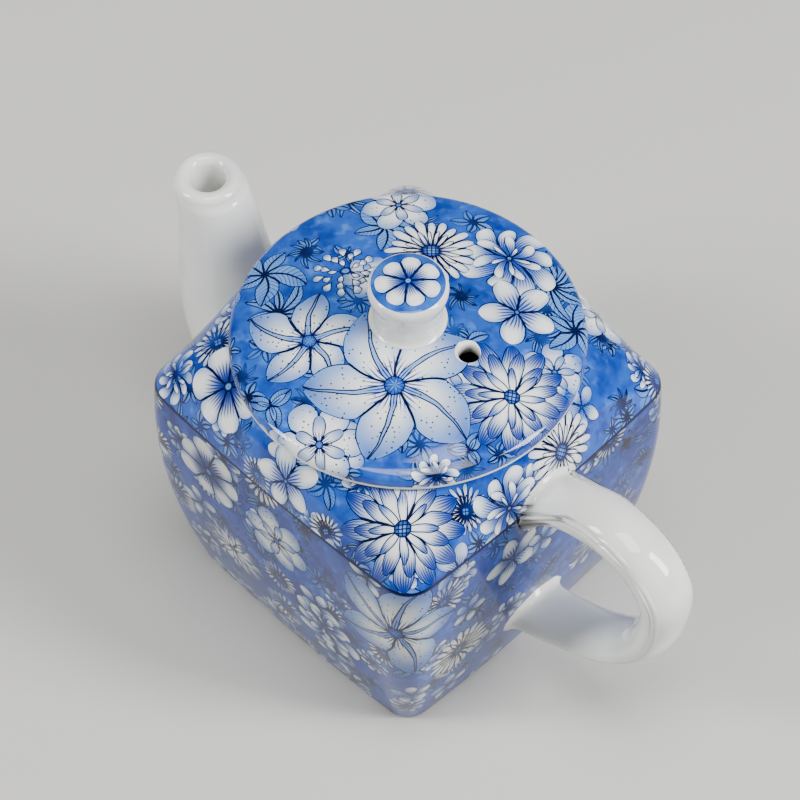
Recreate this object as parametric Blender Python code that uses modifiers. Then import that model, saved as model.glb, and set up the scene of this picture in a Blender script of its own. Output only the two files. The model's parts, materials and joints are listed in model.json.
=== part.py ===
"""A square porcelain teapot with a round domed lid, for two cups of tea.

The pot is square in plan with rounded corners. Its sides swell upward from a smaller foot to a
crisp seam, and a pillow-shaped shoulder closes over the seam to a round mouth. The spout stands on
the -X side and the ear-shaped handle on the +X side. Metres, +Z up, the foot on the plane Z = 0.
"""

import math

import bmesh
import bpy

MM = 0.001

# Driving dimensions
SEAM_HEIGHT = 64.0 * MM
SEAM_HALF_FLAT = 41.7 * MM  # axis to the middle of a side, at the seam
SEAM_HALF_DIAGONAL = 54.8 * MM  # axis to a rounded corner, at the seam
SEAM_CORNER_RADIUS = 7.0 * MM
FOOT_SHARE = 0.84  # the foot's plan size over the seam's
NECK_RADIUS = 37.0 * MM
NECK_HEIGHT = 78.2 * MM
MOUTH_RADIUS = 31.5 * MM
LID_RADIUS = 38.3 * MM
TOTAL_HEIGHT = 100.5 * MM
SPOUT_REACH = 69.75 * MM  # axis to the spout's far lip
SPOUT_HEIGHT = 81.0 * MM
HANDLE_REACH = 80.7 * MM  # axis to the handle's back
WALL = 3.2 * MM
GAP = 0.3 * MM  # between pieces that are luted or rest on each other

# The origin is the middle of the whole pot's footprint, so the pot's own axis stands beside it.
AXIS_X = (SPOUT_REACH - HANDLE_REACH) / 2

# Sides and foot
BELLY_HEIGHT = 52.0 * MM  # where the sides are widest
BELLY_SWELL = 1.01  # the widest plan size over the seam's
FOOT_ROUND = 1.5 * MM
FOOT_RING_WIDTH = 4.5 * MM
FOOT_RECESS = 2.0 * MM
SHOULDER_BULGE = 1.5 * MM

# Lid
LID_UNDERSIDE = NECK_HEIGHT + GAP
LID_APEX = 87.8 * MM
DOME_EDGE_RADIUS = 35.0 * MM
DOME_EDGE_HEIGHT = 82.9 * MM
LID_RIM_MIDDLE = 80.4 * MM
LID_EDGE_ROUND = 0.8 * MM
FLANGE_RADIUS = 30.2 * MM
FLANGE_WALL = 2.8 * MM
FLANGE_BOTTOM = 71.5 * MM
VENT_RADIUS = 2.35 * MM
VENT_OFFSET = 15.5 * MM
VENT_ANGLE = math.radians(11)

# Knob
KNOB_FOOT_RADIUS = 7.7 * MM
KNOB_WAIST_RADIUS = 7.2 * MM
KNOB_RIM_RADIUS = 8.65 * MM
KNOB_DISC_RADIUS = 7.9 * MM

# Spout and its strainer
SPOUT_LIP_RADIUS = 7.75 * MM
SPOUT_WALL_AT_LIP = 3.85 * MM
SPOUT_CUT_SPARE = 6.0 * MM  # how far the uncut tube runs on past the mouth
OUTLET_RADIUS = 8.0 * MM
OUTLET_HEIGHT = 27.0 * MM
STRAINER_RADIUS = 11.0 * MM
STRAINER_RISE = 3.6 * MM
STRAINER_WALL = 1.8 * MM
STRAINER_HOLE_RADIUS = 1.5 * MM
STRAINER_HOLES_ROUND = 6
STRAINER_HOLE_RING = 5.4 * MM

# Handle
HANDLE_HALF_THICKNESS = 4.4 * MM
HANDLE_HALF_WIDTH = 6.6 * MM

# How finely round shapes are divided
SIDE_STEPS = 5  # along half a side of the plan
CORNER_STEPS = 3  # along half a corner of the plan
LATHE_STEPS = 48
KNOB_STEPS = 36
SMALL_LATHE_STEPS = 24
TUBE_SIDES_RESOLUTION = 4

WHITE_GLAZE = (0.80, 0.81, 0.78, 1.0)
BLUE_PRINT = (0.20, 0.33, 0.66, 1.0)
BARE_PORCELAIN = (0.78, 0.76, 0.71, 1.0)


def clear_scene():
    for obj in list(bpy.data.objects):
        bpy.data.objects.remove(obj, do_unlink=True)


def new_collection(name):
    collection = bpy.data.collections.new(name)
    bpy.context.scene.collection.children.link(collection)
    return collection


def porcelain(name, colour, roughness):
    material = bpy.data.materials.new(name)
    material.use_nodes = True
    shader = material.node_tree.nodes["Principled BSDF"]
    shader.inputs["Base Color"].default_value = colour
    shader.inputs["Roughness"].default_value = roughness
    shader.inputs["Metallic"].default_value = 0.0
    return material


def dress(obj, material):
    obj.data.materials.append(material)
    obj.data.shade_smooth()
    obj.data.set_sharp_from_angle(angle=math.radians(40))


def add_empty(name, parent, location, collection):
    empty = bpy.data.objects.new(name, None)
    collection.objects.link(empty)
    empty.parent = parent
    empty.location = location
    return empty


def as_cutter(obj, cutters):
    for owner in list(obj.users_collection):
        owner.objects.unlink(obj)
    cutters.objects.link(obj)
    obj.hide_render = True
    obj.display_type = "WIRE"
    return obj


def cut(obj, cutter):
    modifier = obj.modifiers.new("cut by " + cutter.name, "BOOLEAN")
    modifier.operation = "DIFFERENCE"
    modifier.solver = "EXACT"
    modifier.object = cutter


# Plan outlines and lofts


def plan_radius(angle, half_flat, half_diagonal, corner):
    """Distance from the axis to a rounded square with slightly bowed sides."""
    turned = (angle + math.pi / 4) % (math.pi / 2) - math.pi / 4
    turned = abs(turned)
    corner_centre = (half_diagonal - corner) / math.sqrt(2)
    short = corner_centre - half_flat
    bow = (short**2 + corner_centre**2 - corner**2) / (-2 * corner - 2 * short)
    arc_centre = half_flat - bow
    along = math.cos(turned)
    reach = along * arc_centre + math.sqrt((along * arc_centre) ** 2 - arc_centre**2 + bow**2)
    joint_angle = math.atan2(corner_centre, corner_centre - arc_centre)
    if math.atan2(reach * math.sin(turned), reach * along - arc_centre) <= joint_angle:
        return reach
    ahead = corner_centre * (math.cos(turned) + math.sin(turned))
    return ahead + math.sqrt(ahead**2 - 2 * corner_centre**2 + corner**2)


def plan_angles():
    """Directions round the plan, closer together at the corners."""
    corner_start = math.radians(36)
    eighth = [corner_start * step / SIDE_STEPS for step in range(SIDE_STEPS)]
    rest = math.pi / 4 - corner_start
    eighth += [corner_start + rest * step / CORNER_STEPS for step in range(CORNER_STEPS)]
    quarter = eighth + [math.pi / 4] + [math.pi / 2 - angle for angle in reversed(eighth[1:])]
    return [angle + turn * math.pi / 2 for turn in range(4) for angle in quarter]


def square_ring(height, share=1.0, inset=0.0):
    """One level of the pot's square part: the seam's plan, scaled so that its sides move inward."""
    size = share - inset / SEAM_HALF_FLAT
    ring = []
    for angle in plan_angles():
        radius = size * plan_radius(angle, SEAM_HALF_FLAT, SEAM_HALF_DIAGONAL, SEAM_CORNER_RADIUS)
        ring.append((radius * math.cos(angle), radius * math.sin(angle), height))
    return ring


def round_ring(height, radius):
    return [(radius * math.cos(angle), radius * math.sin(angle), height) for angle in plan_angles()]


def side_share(height):
    """The sides' plan size over the seam's: an arc that is widest at the belly."""
    foot_fall = (BELLY_SWELL - FOOT_SHARE) / BELLY_HEIGHT**2
    return BELLY_SWELL - foot_fall * (height - BELLY_HEIGHT) ** 2


def bulged_rings(outer, inner, bulge, steps):
    """Rings from one ring to a smaller one above it, along arcs that swell by the same depth."""
    rings = []
    for step in range(1, steps + 1):
        share = step / steps
        swell = bulge * math.sin(math.pi * share)
        ring = []
        for (x0, y0, z0), (x1, y1, z1) in zip(outer, inner):
            run = math.hypot(x0, y0) - math.hypot(x1, y1)
            rise = z1 - z0
            length = math.hypot(run, rise)
            radius = math.hypot(x0, y0) - run * share + swell * rise / length
            angle = math.atan2(y0, x0)
            height = z0 + rise * share + swell * run / length
            ring.append((radius * math.cos(angle), radius * math.sin(angle), height))
        rings.append(ring)
    return rings


def loft(name, rings, collection):
    """A closed solid through rings of equal count, its first and last ring filled."""
    mesh = bmesh.new()
    levels = [[mesh.verts.new(point) for point in ring] for ring in rings]
    count = len(rings[0])
    for below, above in zip(levels, levels[1:]):
        for i in range(count):
            j = (i + 1) % count
            mesh.faces.new((below[i], below[j], above[j], above[i]))
    mesh.faces.new(list(reversed(levels[0])))
    mesh.faces.new(levels[-1])
    bmesh.ops.recalc_face_normals(mesh, faces=mesh.faces)
    data = bpy.data.meshes.new(name)
    mesh.to_mesh(data)
    mesh.free()
    obj = bpy.data.objects.new(name, data)
    collection.objects.link(obj)
    return obj


# Turned pieces and tubes


def turned(name, profile, collection, sides=LATHE_STEPS):
    """A solid of revolution: the profile's (radius, height) points run down from the axis."""
    data = bpy.data.meshes.new(name)
    edges = [(i, i + 1) for i in range(len(profile) - 1)]
    data.from_pydata([(radius, 0.0, height) for radius, height in profile], edges, [])
    obj = bpy.data.objects.new(name, data)
    collection.objects.link(obj)
    screw = obj.modifiers.new("turn", "SCREW")
    screw.axis = "Z"
    screw.angle = 2 * math.pi
    screw.steps = sides
    screw.render_steps = sides
    screw.use_merge_vertices = True
    screw.merge_threshold = 0.00001
    screw.use_smooth_shade = True
    return obj


def cylinder(name, radius, start, direction, length, collection):
    bpy.ops.mesh.primitive_cylinder_add(vertices=24, radius=radius, depth=length)
    obj = bpy.context.active_object
    obj.name = name
    obj.location = [place + length / 2 * part for place, part in zip(start, direction)]
    flat = math.hypot(direction[0], direction[1])
    obj.rotation_euler = (0.0, math.atan2(flat, direction[2]), math.atan2(direction[1], direction[0]))
    return as_cutter(obj, collection)


def smooth_path(stations, steps):
    """Stations joined by Catmull-Rom curves; each station is a tuple of any named quantities."""
    ends = [stations[0], *stations, stations[-1]]
    path = []
    for before, start, finish, after in zip(ends, ends[1:], ends[2:], ends[3:]):
        for step in range(steps):
            t = step / steps
            point = []
            for a, b, c, d in zip(before, start, finish, after):
                bend = (2 * a - 5 * b + 4 * c - d) * t**2 + (3 * b - a - 3 * c + d) * t**3
                point.append(0.5 * (2 * b + (c - a) * t + bend))
            path.append(tuple(point))
    path.append(stations[-1])
    return path


def fill_path(curve, path):
    """One spline in the XZ plane through (x, z, size) points; size scales the curve's section."""
    spline = curve.splines.new("POLY")
    spline.points.add(len(path) - 1)
    for point, (x, z, size) in zip(spline.points, path):
        point.co = (x, 0.0, z, 1.0)
        point.radius = size


def curve_to_mesh(obj, collection):
    """The curve's own mesh as a new object, with its caps welded to its sides."""
    graph = bpy.context.evaluated_depsgraph_get()
    data = bpy.data.meshes.new_from_object(obj.evaluated_get(graph))
    mesh = bmesh.new()
    mesh.from_mesh(data)
    bmesh.ops.remove_doubles(mesh, verts=mesh.verts, dist=0.001 * MM)
    bmesh.ops.recalc_face_normals(mesh, faces=mesh.faces)
    mesh.to_mesh(data)
    mesh.free()
    name = obj.name
    matrix = obj.matrix_world.copy()
    bpy.data.objects.remove(obj, do_unlink=True)
    solid = bpy.data.objects.new(name, data)
    solid.matrix_world = matrix
    collection.objects.link(solid)
    return solid


def tube(name, stations, steps, collection):
    """A round tube in the XZ plane through (x, z, radius) stations."""
    curve = bpy.data.curves.new(name, "CURVE")
    curve.dimensions = "3D"
    curve.bevel_depth = 1.0
    curve.bevel_resolution = TUBE_SIDES_RESOLUTION
    curve.use_fill_caps = True
    fill_path(curve, smooth_path(stations, steps))
    obj = bpy.data.objects.new(name, curve)
    collection.objects.link(obj)
    return curve_to_mesh(obj, collection)


def oval_bar(name, stations, steps, collection):
    """A bar of oval section in the XZ plane through (x, z, size) stations."""
    bpy.ops.curve.primitive_bezier_circle_add(radius=1.0)
    section = bpy.context.active_object
    section.name = name + "_section"
    section.data.resolution_u = 5
    for point in section.data.splines[0].bezier_points:
        for place in (point.co, point.handle_left, point.handle_right):
            place.x *= HANDLE_HALF_WIDTH
            place.y *= HANDLE_HALF_THICKNESS
    curve = bpy.data.curves.new(name, "CURVE")
    curve.dimensions = "3D"
    curve.bevel_mode = "OBJECT"
    curve.bevel_object = section
    curve.use_fill_caps = True
    fill_path(curve, smooth_path(stations, steps))
    obj = bpy.data.objects.new(name, curve)
    collection.objects.link(obj)
    solid = curve_to_mesh(obj, collection)
    bpy.data.objects.remove(section, do_unlink=True)
    return solid


# The pieces


def outer_rings(grow=0.0):
    """The outside of the body from just above the foot's rounding to the neck."""
    steps = 9
    heights = [FOOT_ROUND + (SEAM_HEIGHT - FOOT_ROUND) * step / steps for step in range(steps + 1)]
    rings = [square_ring(height, side_share(height), -grow) for height in heights]
    neck = round_ring(NECK_HEIGHT + grow, NECK_RADIUS + grow)
    return rings + bulged_rings(rings[-1], neck, SHOULDER_BULGE, 6)


def inner_rings():
    """The inside of the body from the mouth down to the floor."""
    share = side_share(SEAM_HEIGHT)
    inner_seam = square_ring(SEAM_HEIGHT - WALL * 0.6, share, WALL)
    inner_neck = round_ring(NECK_HEIGHT - WALL, MOUTH_RADIUS)
    shoulder = bulged_rings(inner_seam, inner_neck, SHOULDER_BULGE, 5)
    floor = FOOT_RECESS + WALL
    steps = 6
    top = SEAM_HEIGHT - WALL * 0.6
    heights = [top + (floor + 4 * MM - top) * step / steps for step in range(steps + 1)]
    walls = [square_ring(height, side_share(height), WALL) for height in heights]
    low_share = side_share(floor)
    return [
        round_ring(NECK_HEIGHT, MOUTH_RADIUS),
        *reversed(shoulder),
        *walls,
        square_ring(floor + 1.2 * MM, low_share, WALL + 1.6 * MM),
        square_ring(floor, low_share, WALL + 5 * MM),
    ]


def foot_rings():
    """The recessed underside and the foot ring, from the middle outward."""
    share = side_share(FOOT_ROUND)
    return [
        square_ring(FOOT_RECESS, share, FOOT_ROUND + FOOT_RING_WIDTH + 1.0 * MM),
        square_ring(0.0, share, FOOT_ROUND + FOOT_RING_WIDTH),
        square_ring(0.0, share, FOOT_ROUND),
        square_ring(FOOT_ROUND * 0.3, share, FOOT_ROUND * 0.3),
    ]


def wall_point():
    """Where the spout's axis meets the outside of the -X wall, and the wall's outward normal."""
    x = -SEAM_HALF_FLAT * side_share(OUTLET_HEIGHT)
    step = 1.0 * MM
    slope = SEAM_HALF_FLAT * (side_share(OUTLET_HEIGHT + step) - side_share(OUTLET_HEIGHT)) / step
    length = math.hypot(1.0, slope)
    return (x, 0.0, OUTLET_HEIGHT), (-1.0 / length, 0.0, -slope / length)


def make_body(parts, cutters):
    body = loft("body", foot_rings() + outer_rings() + inner_rings(), parts)
    (x, y, z), normal = wall_point()
    start = (x + 10 * MM, y, z - 10 * MM * normal[2])
    cut(body, cylinder("outlet_cutter", OUTLET_RADIUS, start, normal, 20 * MM, cutters))
    return body


def make_body_keepout(cutters):
    """The body's outside, grown by the gap: what the spout and the handle are trimmed to."""
    return as_cutter(loft("body_keepout", outer_rings(GAP), cutters), cutters)


def make_strainer(parts, cutters):
    """A pierced dome luted inside the wall over the outlet, its hollow side to the spout."""
    steps = 4
    sphere = (STRAINER_RADIUS**2 + STRAINER_RISE**2) / (2 * STRAINER_RISE)

    def dome(radius, rise):
        return math.sqrt(sphere**2 - radius**2) - (sphere - STRAINER_RISE) + rise

    outer = [(STRAINER_RADIUS * step / steps, dome(STRAINER_RADIUS * step / steps, STRAINER_WALL))
             for step in range(steps + 1)]
    bore = STRAINER_RADIUS - STRAINER_WALL
    inner = [(bore * step / steps, dome(bore * step / steps, 0.0)) for step in reversed(range(steps + 1))]
    profile = outer + [(STRAINER_RADIUS, 0.0), (bore, 0.0)] + inner
    strainer = turned("strainer", profile, parts, SMALL_LATHE_STEPS)
    places = [(0.0, 0.0)]
    for step in range(STRAINER_HOLES_ROUND):
        angle = 2 * math.pi * step / STRAINER_HOLES_ROUND
        places.append((STRAINER_HOLE_RING * math.cos(angle), STRAINER_HOLE_RING * math.sin(angle)))
    for number, (x, y) in enumerate(places):
        bpy.ops.mesh.primitive_cylinder_add(vertices=10, radius=STRAINER_HOLE_RADIUS, depth=20 * MM)
        pin = as_cutter(bpy.context.active_object, cutters)
        pin.name = f"strainer_hole_{number}"
        pin.location = (x, y, 0.0)
        pin.parent = strainer
        cut(strainer, pin)
    (x, _, z), normal = wall_point()
    depth = WALL / abs(normal[0]) + GAP
    strainer.location = (x + depth, 0.0, z - depth * normal[2])
    strainer.rotation_euler = (0.0, math.atan2(-normal[0], -normal[2]), 0.0)
    return strainer


def make_spout(parts, cutters, keepout):
    """An S-curved tube, fat at its root, cut level at the mouth."""
    mouth_x = -(SPOUT_REACH - SPOUT_LIP_RADIUS)
    # Each station is where the tube's middle stands, the tube's radius there and its wall.
    stations = [
        (-30 * MM, 25 * MM, 14.0 * MM, 5.8 * MM),
        (-37 * MM, 25.5 * MM, 13.8 * MM, 5.8 * MM),
        (-47 * MM, 30.5 * MM, 13.2 * MM, 5.4 * MM),
        (-55 * MM, 42 * MM, 12.2 * MM, 4.7 * MM),
        (-57.8 * MM, 57 * MM, 10.5 * MM, 4.2 * MM),
        (-59.4 * MM, 70 * MM, 8.9 * MM, 4.0 * MM),
        (mouth_x, SPOUT_HEIGHT, SPOUT_LIP_RADIUS, SPOUT_WALL_AT_LIP),
        (mouth_x - 1.6 * MM, SPOUT_HEIGHT + SPOUT_CUT_SPARE, SPOUT_LIP_RADIUS, SPOUT_WALL_AT_LIP),
    ]
    outside = [(x, z, radius) for x, z, radius, _ in stations]
    bore = [(x, z, radius - wall) for x, z, radius, wall in stations]
    bore[0] = (-28 * MM, 25 * MM, OUTLET_RADIUS)
    spout = tube("spout", outside, 4, parts)
    cut(spout, as_cutter(tube("spout_bore", bore, 4, cutters), cutters))
    bpy.ops.mesh.primitive_cube_add(size=1.0)
    level = as_cutter(bpy.context.active_object, cutters)
    level.name = "spout_level"
    side = 40 * MM
    level.scale = (side, side, side)
    level.location = (mouth_x, 0.0, SPOUT_HEIGHT + side / 2)
    cut(spout, level)
    cut(spout, keepout)
    return spout


def make_handle(parts, keepout):
    """An ear-shaped loop that rises above the seam before it turns down."""
    back = HANDLE_REACH - HANDLE_HALF_THICKNESS
    stations = [
        (34 * MM, 57.5 * MM, 1.08),
        (40 * MM, 61.5 * MM, 1.05),
        (47 * MM, 67 * MM, 1.0),
        (58 * MM, 72 * MM, 1.0),
        (69 * MM, 70.5 * MM, 1.0),
        (back - 1 * MM, 64 * MM, 1.0),
        (back, 56 * MM, 1.0),
        (73 * MM, 43.5 * MM, 1.0),
        (63 * MM, 31 * MM, 1.0),
        (49 * MM, 22.5 * MM, 1.02),
        (40 * MM, 19 * MM, 1.08),
        (33 * MM, 17 * MM, 1.12),
    ]
    handle = oval_bar("handle", stations, 2, parts)
    cut(handle, keepout)
    return handle


def dome_height(radius):
    """The lid's top surface, part of a large sphere."""
    fall = LID_APEX - DOME_EDGE_HEIGHT
    sphere = (DOME_EDGE_RADIUS**2 + fall**2) / (2 * fall)
    return LID_APEX - sphere + math.sqrt(sphere**2 - radius**2)


def make_lid(parts, cutters):
    """A shallow dome with a rounded rim and a locating flange that drops into the mouth."""
    steps = 7
    profile = [(DOME_EDGE_RADIUS * step / steps, dome_height(DOME_EDGE_RADIUS * step / steps))
               for step in range(steps + 1)]
    rim_round = DOME_EDGE_HEIGHT - LID_RIM_MIDDLE
    for degrees in (60, 35, 10):
        angle = math.radians(degrees)
        radius = DOME_EDGE_RADIUS + (LID_RADIUS - DOME_EDGE_RADIUS) * math.cos(angle)
        profile.append((radius, LID_RIM_MIDDLE + rim_round * math.sin(angle)))
    profile += [
        (LID_RADIUS, LID_UNDERSIDE + LID_EDGE_ROUND),
        (LID_RADIUS - LID_EDGE_ROUND, LID_UNDERSIDE),
        (FLANGE_RADIUS, LID_UNDERSIDE),
        (FLANGE_RADIUS, FLANGE_BOTTOM + LID_EDGE_ROUND),
        (FLANGE_RADIUS - LID_EDGE_ROUND, FLANGE_BOTTOM),
        (FLANGE_RADIUS - FLANGE_WALL, FLANGE_BOTTOM),
    ]
    hollow = FLANGE_RADIUS - FLANGE_WALL
    profile += [(hollow * step / 5, dome_height(hollow * step / 5) - WALL) for step in reversed(range(6))]
    lid = turned("lid", profile, parts)
    place = (VENT_OFFSET * math.cos(VENT_ANGLE), VENT_OFFSET * math.sin(VENT_ANGLE), 75 * MM)
    cut(lid, cylinder("vent_cutter", VENT_RADIUS, place, (0.0, 0.0, 1.0), 20 * MM, cutters))
    return lid


def make_knob(parts):
    """A waisted button with a flared foot and a slightly domed disc on top."""
    bottom = dome_height(0.0) + GAP
    height = TOTAL_HEIGHT - bottom
    profile = [
        (0.0, bottom + height),
        (KNOB_DISC_RADIUS * 0.55, bottom + height * 0.985),
        (KNOB_DISC_RADIUS, bottom + height * 0.92),
        (KNOB_RIM_RADIUS - 0.15 * MM, bottom + height * 0.86),
        (KNOB_RIM_RADIUS, bottom + height * 0.76),
        (KNOB_RIM_RADIUS - 0.45 * MM, bottom + height * 0.60),
        (KNOB_WAIST_RADIUS + 0.35 * MM, bottom + height * 0.42),
        (KNOB_WAIST_RADIUS, bottom + height * 0.28),
        (KNOB_WAIST_RADIUS + 0.2 * MM, bottom + height * 0.14),
        (KNOB_FOOT_RADIUS, dome_height(KNOB_FOOT_RADIUS) + GAP),
        (0.0, bottom),
    ]
    return turned("knob", profile, parts, KNOB_STEPS)


def main():
    clear_scene()
    parts = new_collection("square_porcelain_teapot")
    cutters = new_collection("cutters")
    pot_axis = add_empty("pot_axis", None, (AXIS_X, 0.0, 0.0), parts)
    lid_axis = add_empty("lid_axis", pot_axis, (0.0, 0.0, 0.0), parts)
    keepout = make_body_keepout(cutters)
    fixed = {
        "body": make_body(parts, cutters),
        "strainer": make_strainer(parts, cutters),
        "spout": make_spout(parts, cutters, keepout),
        "handle": make_handle(parts, keepout),
    }
    lifting = {"lid": make_lid(parts, cutters), "knob": make_knob(parts)}
    for obj in [*fixed.values(), *cutters.objects]:
        if obj.parent is None:
            obj.parent = pot_axis
    for obj in lifting.values():
        obj.parent = lid_axis
    white = porcelain("white_glaze", WHITE_GLAZE, 0.08)
    blue = porcelain("blue_print_under_glaze", BLUE_PRINT, 0.08)
    bare = porcelain("bare_porcelain", BARE_PORCELAIN, 0.6)
    dress(fixed["body"], blue)
    dress(fixed["strainer"], bare)
    dress(fixed["spout"], white)
    dress(fixed["handle"], white)
    dress(lifting["lid"], blue)
    dress(lifting["knob"], white)


main()
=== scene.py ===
"""The looks of a square porcelain teapot with a blue transfer print of garden flowers.

The pot is cast porcelain under a clear glaze. A paper transfer covers the outside of the body, the
lid and the knob's disc with flowers drawn in navy line and blue wash, and the spout, the handle and
the inside are left white. Lengths are in metres, and places on the print in millimetres.
"""

import json
import logging
import math
from collections.abc import Iterable, Sequence
from dataclasses import dataclass, field
from enum import Enum, IntEnum
from typing import NamedTuple

import bmesh
import bpy
import numpy as np
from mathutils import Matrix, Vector
from mathutils.bvhtree import BVHTree

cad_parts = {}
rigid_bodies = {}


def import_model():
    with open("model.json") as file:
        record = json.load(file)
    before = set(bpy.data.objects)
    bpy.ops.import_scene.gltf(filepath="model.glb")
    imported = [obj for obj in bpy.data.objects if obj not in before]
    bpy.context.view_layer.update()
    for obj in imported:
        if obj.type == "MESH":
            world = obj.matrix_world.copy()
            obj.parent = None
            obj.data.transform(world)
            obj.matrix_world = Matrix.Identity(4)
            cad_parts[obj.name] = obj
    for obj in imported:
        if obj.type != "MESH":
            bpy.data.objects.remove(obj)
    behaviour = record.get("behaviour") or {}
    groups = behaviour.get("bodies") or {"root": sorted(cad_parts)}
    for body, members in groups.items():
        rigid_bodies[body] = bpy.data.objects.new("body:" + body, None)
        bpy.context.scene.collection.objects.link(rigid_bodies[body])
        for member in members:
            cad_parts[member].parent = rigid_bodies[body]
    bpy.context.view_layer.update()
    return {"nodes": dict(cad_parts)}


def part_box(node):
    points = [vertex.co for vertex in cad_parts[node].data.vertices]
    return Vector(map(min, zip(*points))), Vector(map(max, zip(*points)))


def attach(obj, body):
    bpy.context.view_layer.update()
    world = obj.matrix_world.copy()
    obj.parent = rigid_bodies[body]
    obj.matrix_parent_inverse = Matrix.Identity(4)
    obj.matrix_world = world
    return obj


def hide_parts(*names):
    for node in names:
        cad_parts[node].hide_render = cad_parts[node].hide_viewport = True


MM = 0.001
FRONT_TURN = math.radians(45)  # the print is read from the corner between +X and -Y
PRINT_MAP = "print"
log = logging.getLogger("teapot")

Colour = tuple[float, float, float, float]
Point = tuple[float, float, float]
Socket = bpy.types.NodeSocket
Tree = bpy.types.NodeTree
Node = bpy.types.Node
Material = bpy.types.Material
Mesh = bpy.types.Mesh
Piece = bpy.types.Object


# Nodes


def linear(hex_colour: str) -> Colour:
    """The linear colour of an sRGB hex value.

    Args:
        hex_colour: Six hex digits, such as "5484c6".

    Returns:
        Red, green, blue and an alpha of 1.
    """
    shares = [int(hex_colour[i : i + 2], 16) / 255 for i in (0, 2, 4)]
    toned = [s / 12.92 if s <= 0.04045 else ((s + 0.055) / 1.055) ** 2.4 for s in shares]
    return (toned[0], toned[1], toned[2], 1.0)


def add(tree: Tree, kind: str, inputs: dict | None = None, **settings: object) -> Node:
    """Adds one node with its settings and links.

    Args:
        tree: The tree that the node goes in.
        kind: The node's type name, such as "ShaderNodeMath".
        inputs: Sockets or plain values by the input's identifier, name or number.
        settings: The node's own properties.

    Returns:
        The new node.
    """
    node = tree.nodes.new(kind)
    for name, value in settings.items():
        setattr(node, name, value)
    by_identifier = {socket.identifier: socket for socket in node.inputs}
    for key, value in (inputs or {}).items():
        target = by_identifier[key] if key in by_identifier else node.inputs[key]
        source = value.socket if isinstance(value, Signal) else value
        if isinstance(source, Socket):
            tree.links.new(source, target)
        else:
            target.default_value = source
    return node


def new_group(
    name: str, kind: str, inputs: dict[str, str], outputs: dict[str, str]
) -> tuple[Tree, bpy.types.NodeOutputs]:
    """Starts a node group of its own.

    Args:
        name: The group's name.
        kind: The tree's type name, such as "ShaderNodeTree".
        inputs: What each input carries, such as "Float", by the input's name.
        outputs: What each output carries, by its name.

    Returns:
        The tree, and the sockets that bring the inputs into it.
    """
    tree = bpy.data.node_groups.new(name, kind)
    for side, sockets in (("INPUT", inputs), ("OUTPUT", outputs)):
        for title, form in sockets.items():
            tree.interface.new_socket(title, in_out=side, socket_type="NodeSocket" + form)
    return tree, tree.nodes.new("NodeGroupInput").outputs


def new_finish(name: str) -> tuple[Material, Tree, Node]:
    """Starts a material.

    Args:
        name: The material's name.

    Returns:
        The material, its tree and its Principled shader.
    """
    material = bpy.data.materials.new(name)
    material.use_nodes = True
    return material, material.node_tree, material.node_tree.nodes["Principled BSDF"]


@dataclass(frozen=True)
class Signal:
    """A number that flows through a node tree, so that rules can be written as sums."""

    socket: Socket

    def do(self, operation: str, *others: "Signal | float") -> "Signal":
        """This number put through one maths operation.

        Args:
            operation: The operation's name, such as "SQRT".
            others: Its further operands.

        Returns:
            The result.
        """
        operands = dict(enumerate((self, *others)))
        node = add(self.socket.id_data, "ShaderNodeMath", operands, operation=operation)
        return Signal(node.outputs[0])

    def __add__(self, other: "Signal | float") -> "Signal":
        """The sum."""
        return self.do("ADD", other)

    def __sub__(self, other: "Signal | float") -> "Signal":
        """The difference."""
        return self.do("SUBTRACT", other)

    def __mul__(self, other: "Signal | float") -> "Signal":
        """The product."""
        return self.do("MULTIPLY", other)

    def __truediv__(self, other: "Signal | float") -> "Signal":
        """The quotient."""
        return self.do("DIVIDE", other)

    def __pow__(self, other: "Signal | float") -> "Signal":
        """The power."""
        return self.do("POWER", other)

    def step(self, start: float, end: float, first: float, last: float) -> "Signal":
        """A smooth step.

        Args:
            start: Where the step begins.
            end: Where it ends, more than start.
            first: The value before it.
            last: The value after it.

        Returns:
            The stepped number.
        """
        ends = {"Value": self, "From Min": start, "From Max": end, "To Min": first, "To Max": last}
        tree = self.socket.id_data
        node = add(tree, "ShaderNodeMapRange", ends, interpolation_type="SMOOTHSTEP")
        return Signal(node.outputs["Result"])

    def rise(self, start: float, end: float) -> "Signal":
        """A smooth step from 0 where this number is start to 1 where it is end."""
        return self.step(start, end, 0.0, 1.0)

    def fall(self, start: float, end: float) -> "Signal":
        """A smooth step from 1 where this number is start to 0 where it is end."""
        return self.step(start, end, 1.0, 0.0)

    def grow(self, none: float, full: float) -> "Signal":
        """A smooth step from 0 where this number is none to 1 where it is full, up or down."""
        return self.rise(none, full) if none < full else self.fall(full, none)


Place = tuple[Signal, Signal]


def distance(right: Signal, up: Signal) -> Signal:
    """How far a place is from the origin."""
    return (right * right + up * up).do("SQRT")


def mixed(share: Signal, first: Socket | Colour, second: Socket | Colour) -> Socket:
    """One colour laid over another.

    Args:
        share: How much of the second colour shows, 0 to 1.
        first: The colour below.
        second: The colour above.

    Returns:
        The mixed colour.
    """
    inputs = {"Factor_Float": share, "A_Color": first, "B_Color": second}
    mix = add(share.socket.id_data, "ShaderNodeMix", inputs, data_type="RGBA")
    return next(output for output in mix.outputs if output.type == "RGBA")


# The engraved plates


class Ink(Enum):
    """The print's colours: navy keyline, four strengths of cobalt and the white of the body."""

    NAVY = "0d2a60"
    DEEP = "2453a8"
    COBALT = "4b7fca"
    LIGHT = "74a1df"
    PALE = "8db3e4"
    WHITE = "eff1ef"

    @property
    def colour(self) -> Colour:
        """The linear colour."""
        return linear(self.value)


class Heart(Enum):
    """What stands in the middle of a flower."""

    NONE = "none"
    HATCHED = "hatched"
    BEADS = "beads"
    EYE = "eye"


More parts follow.
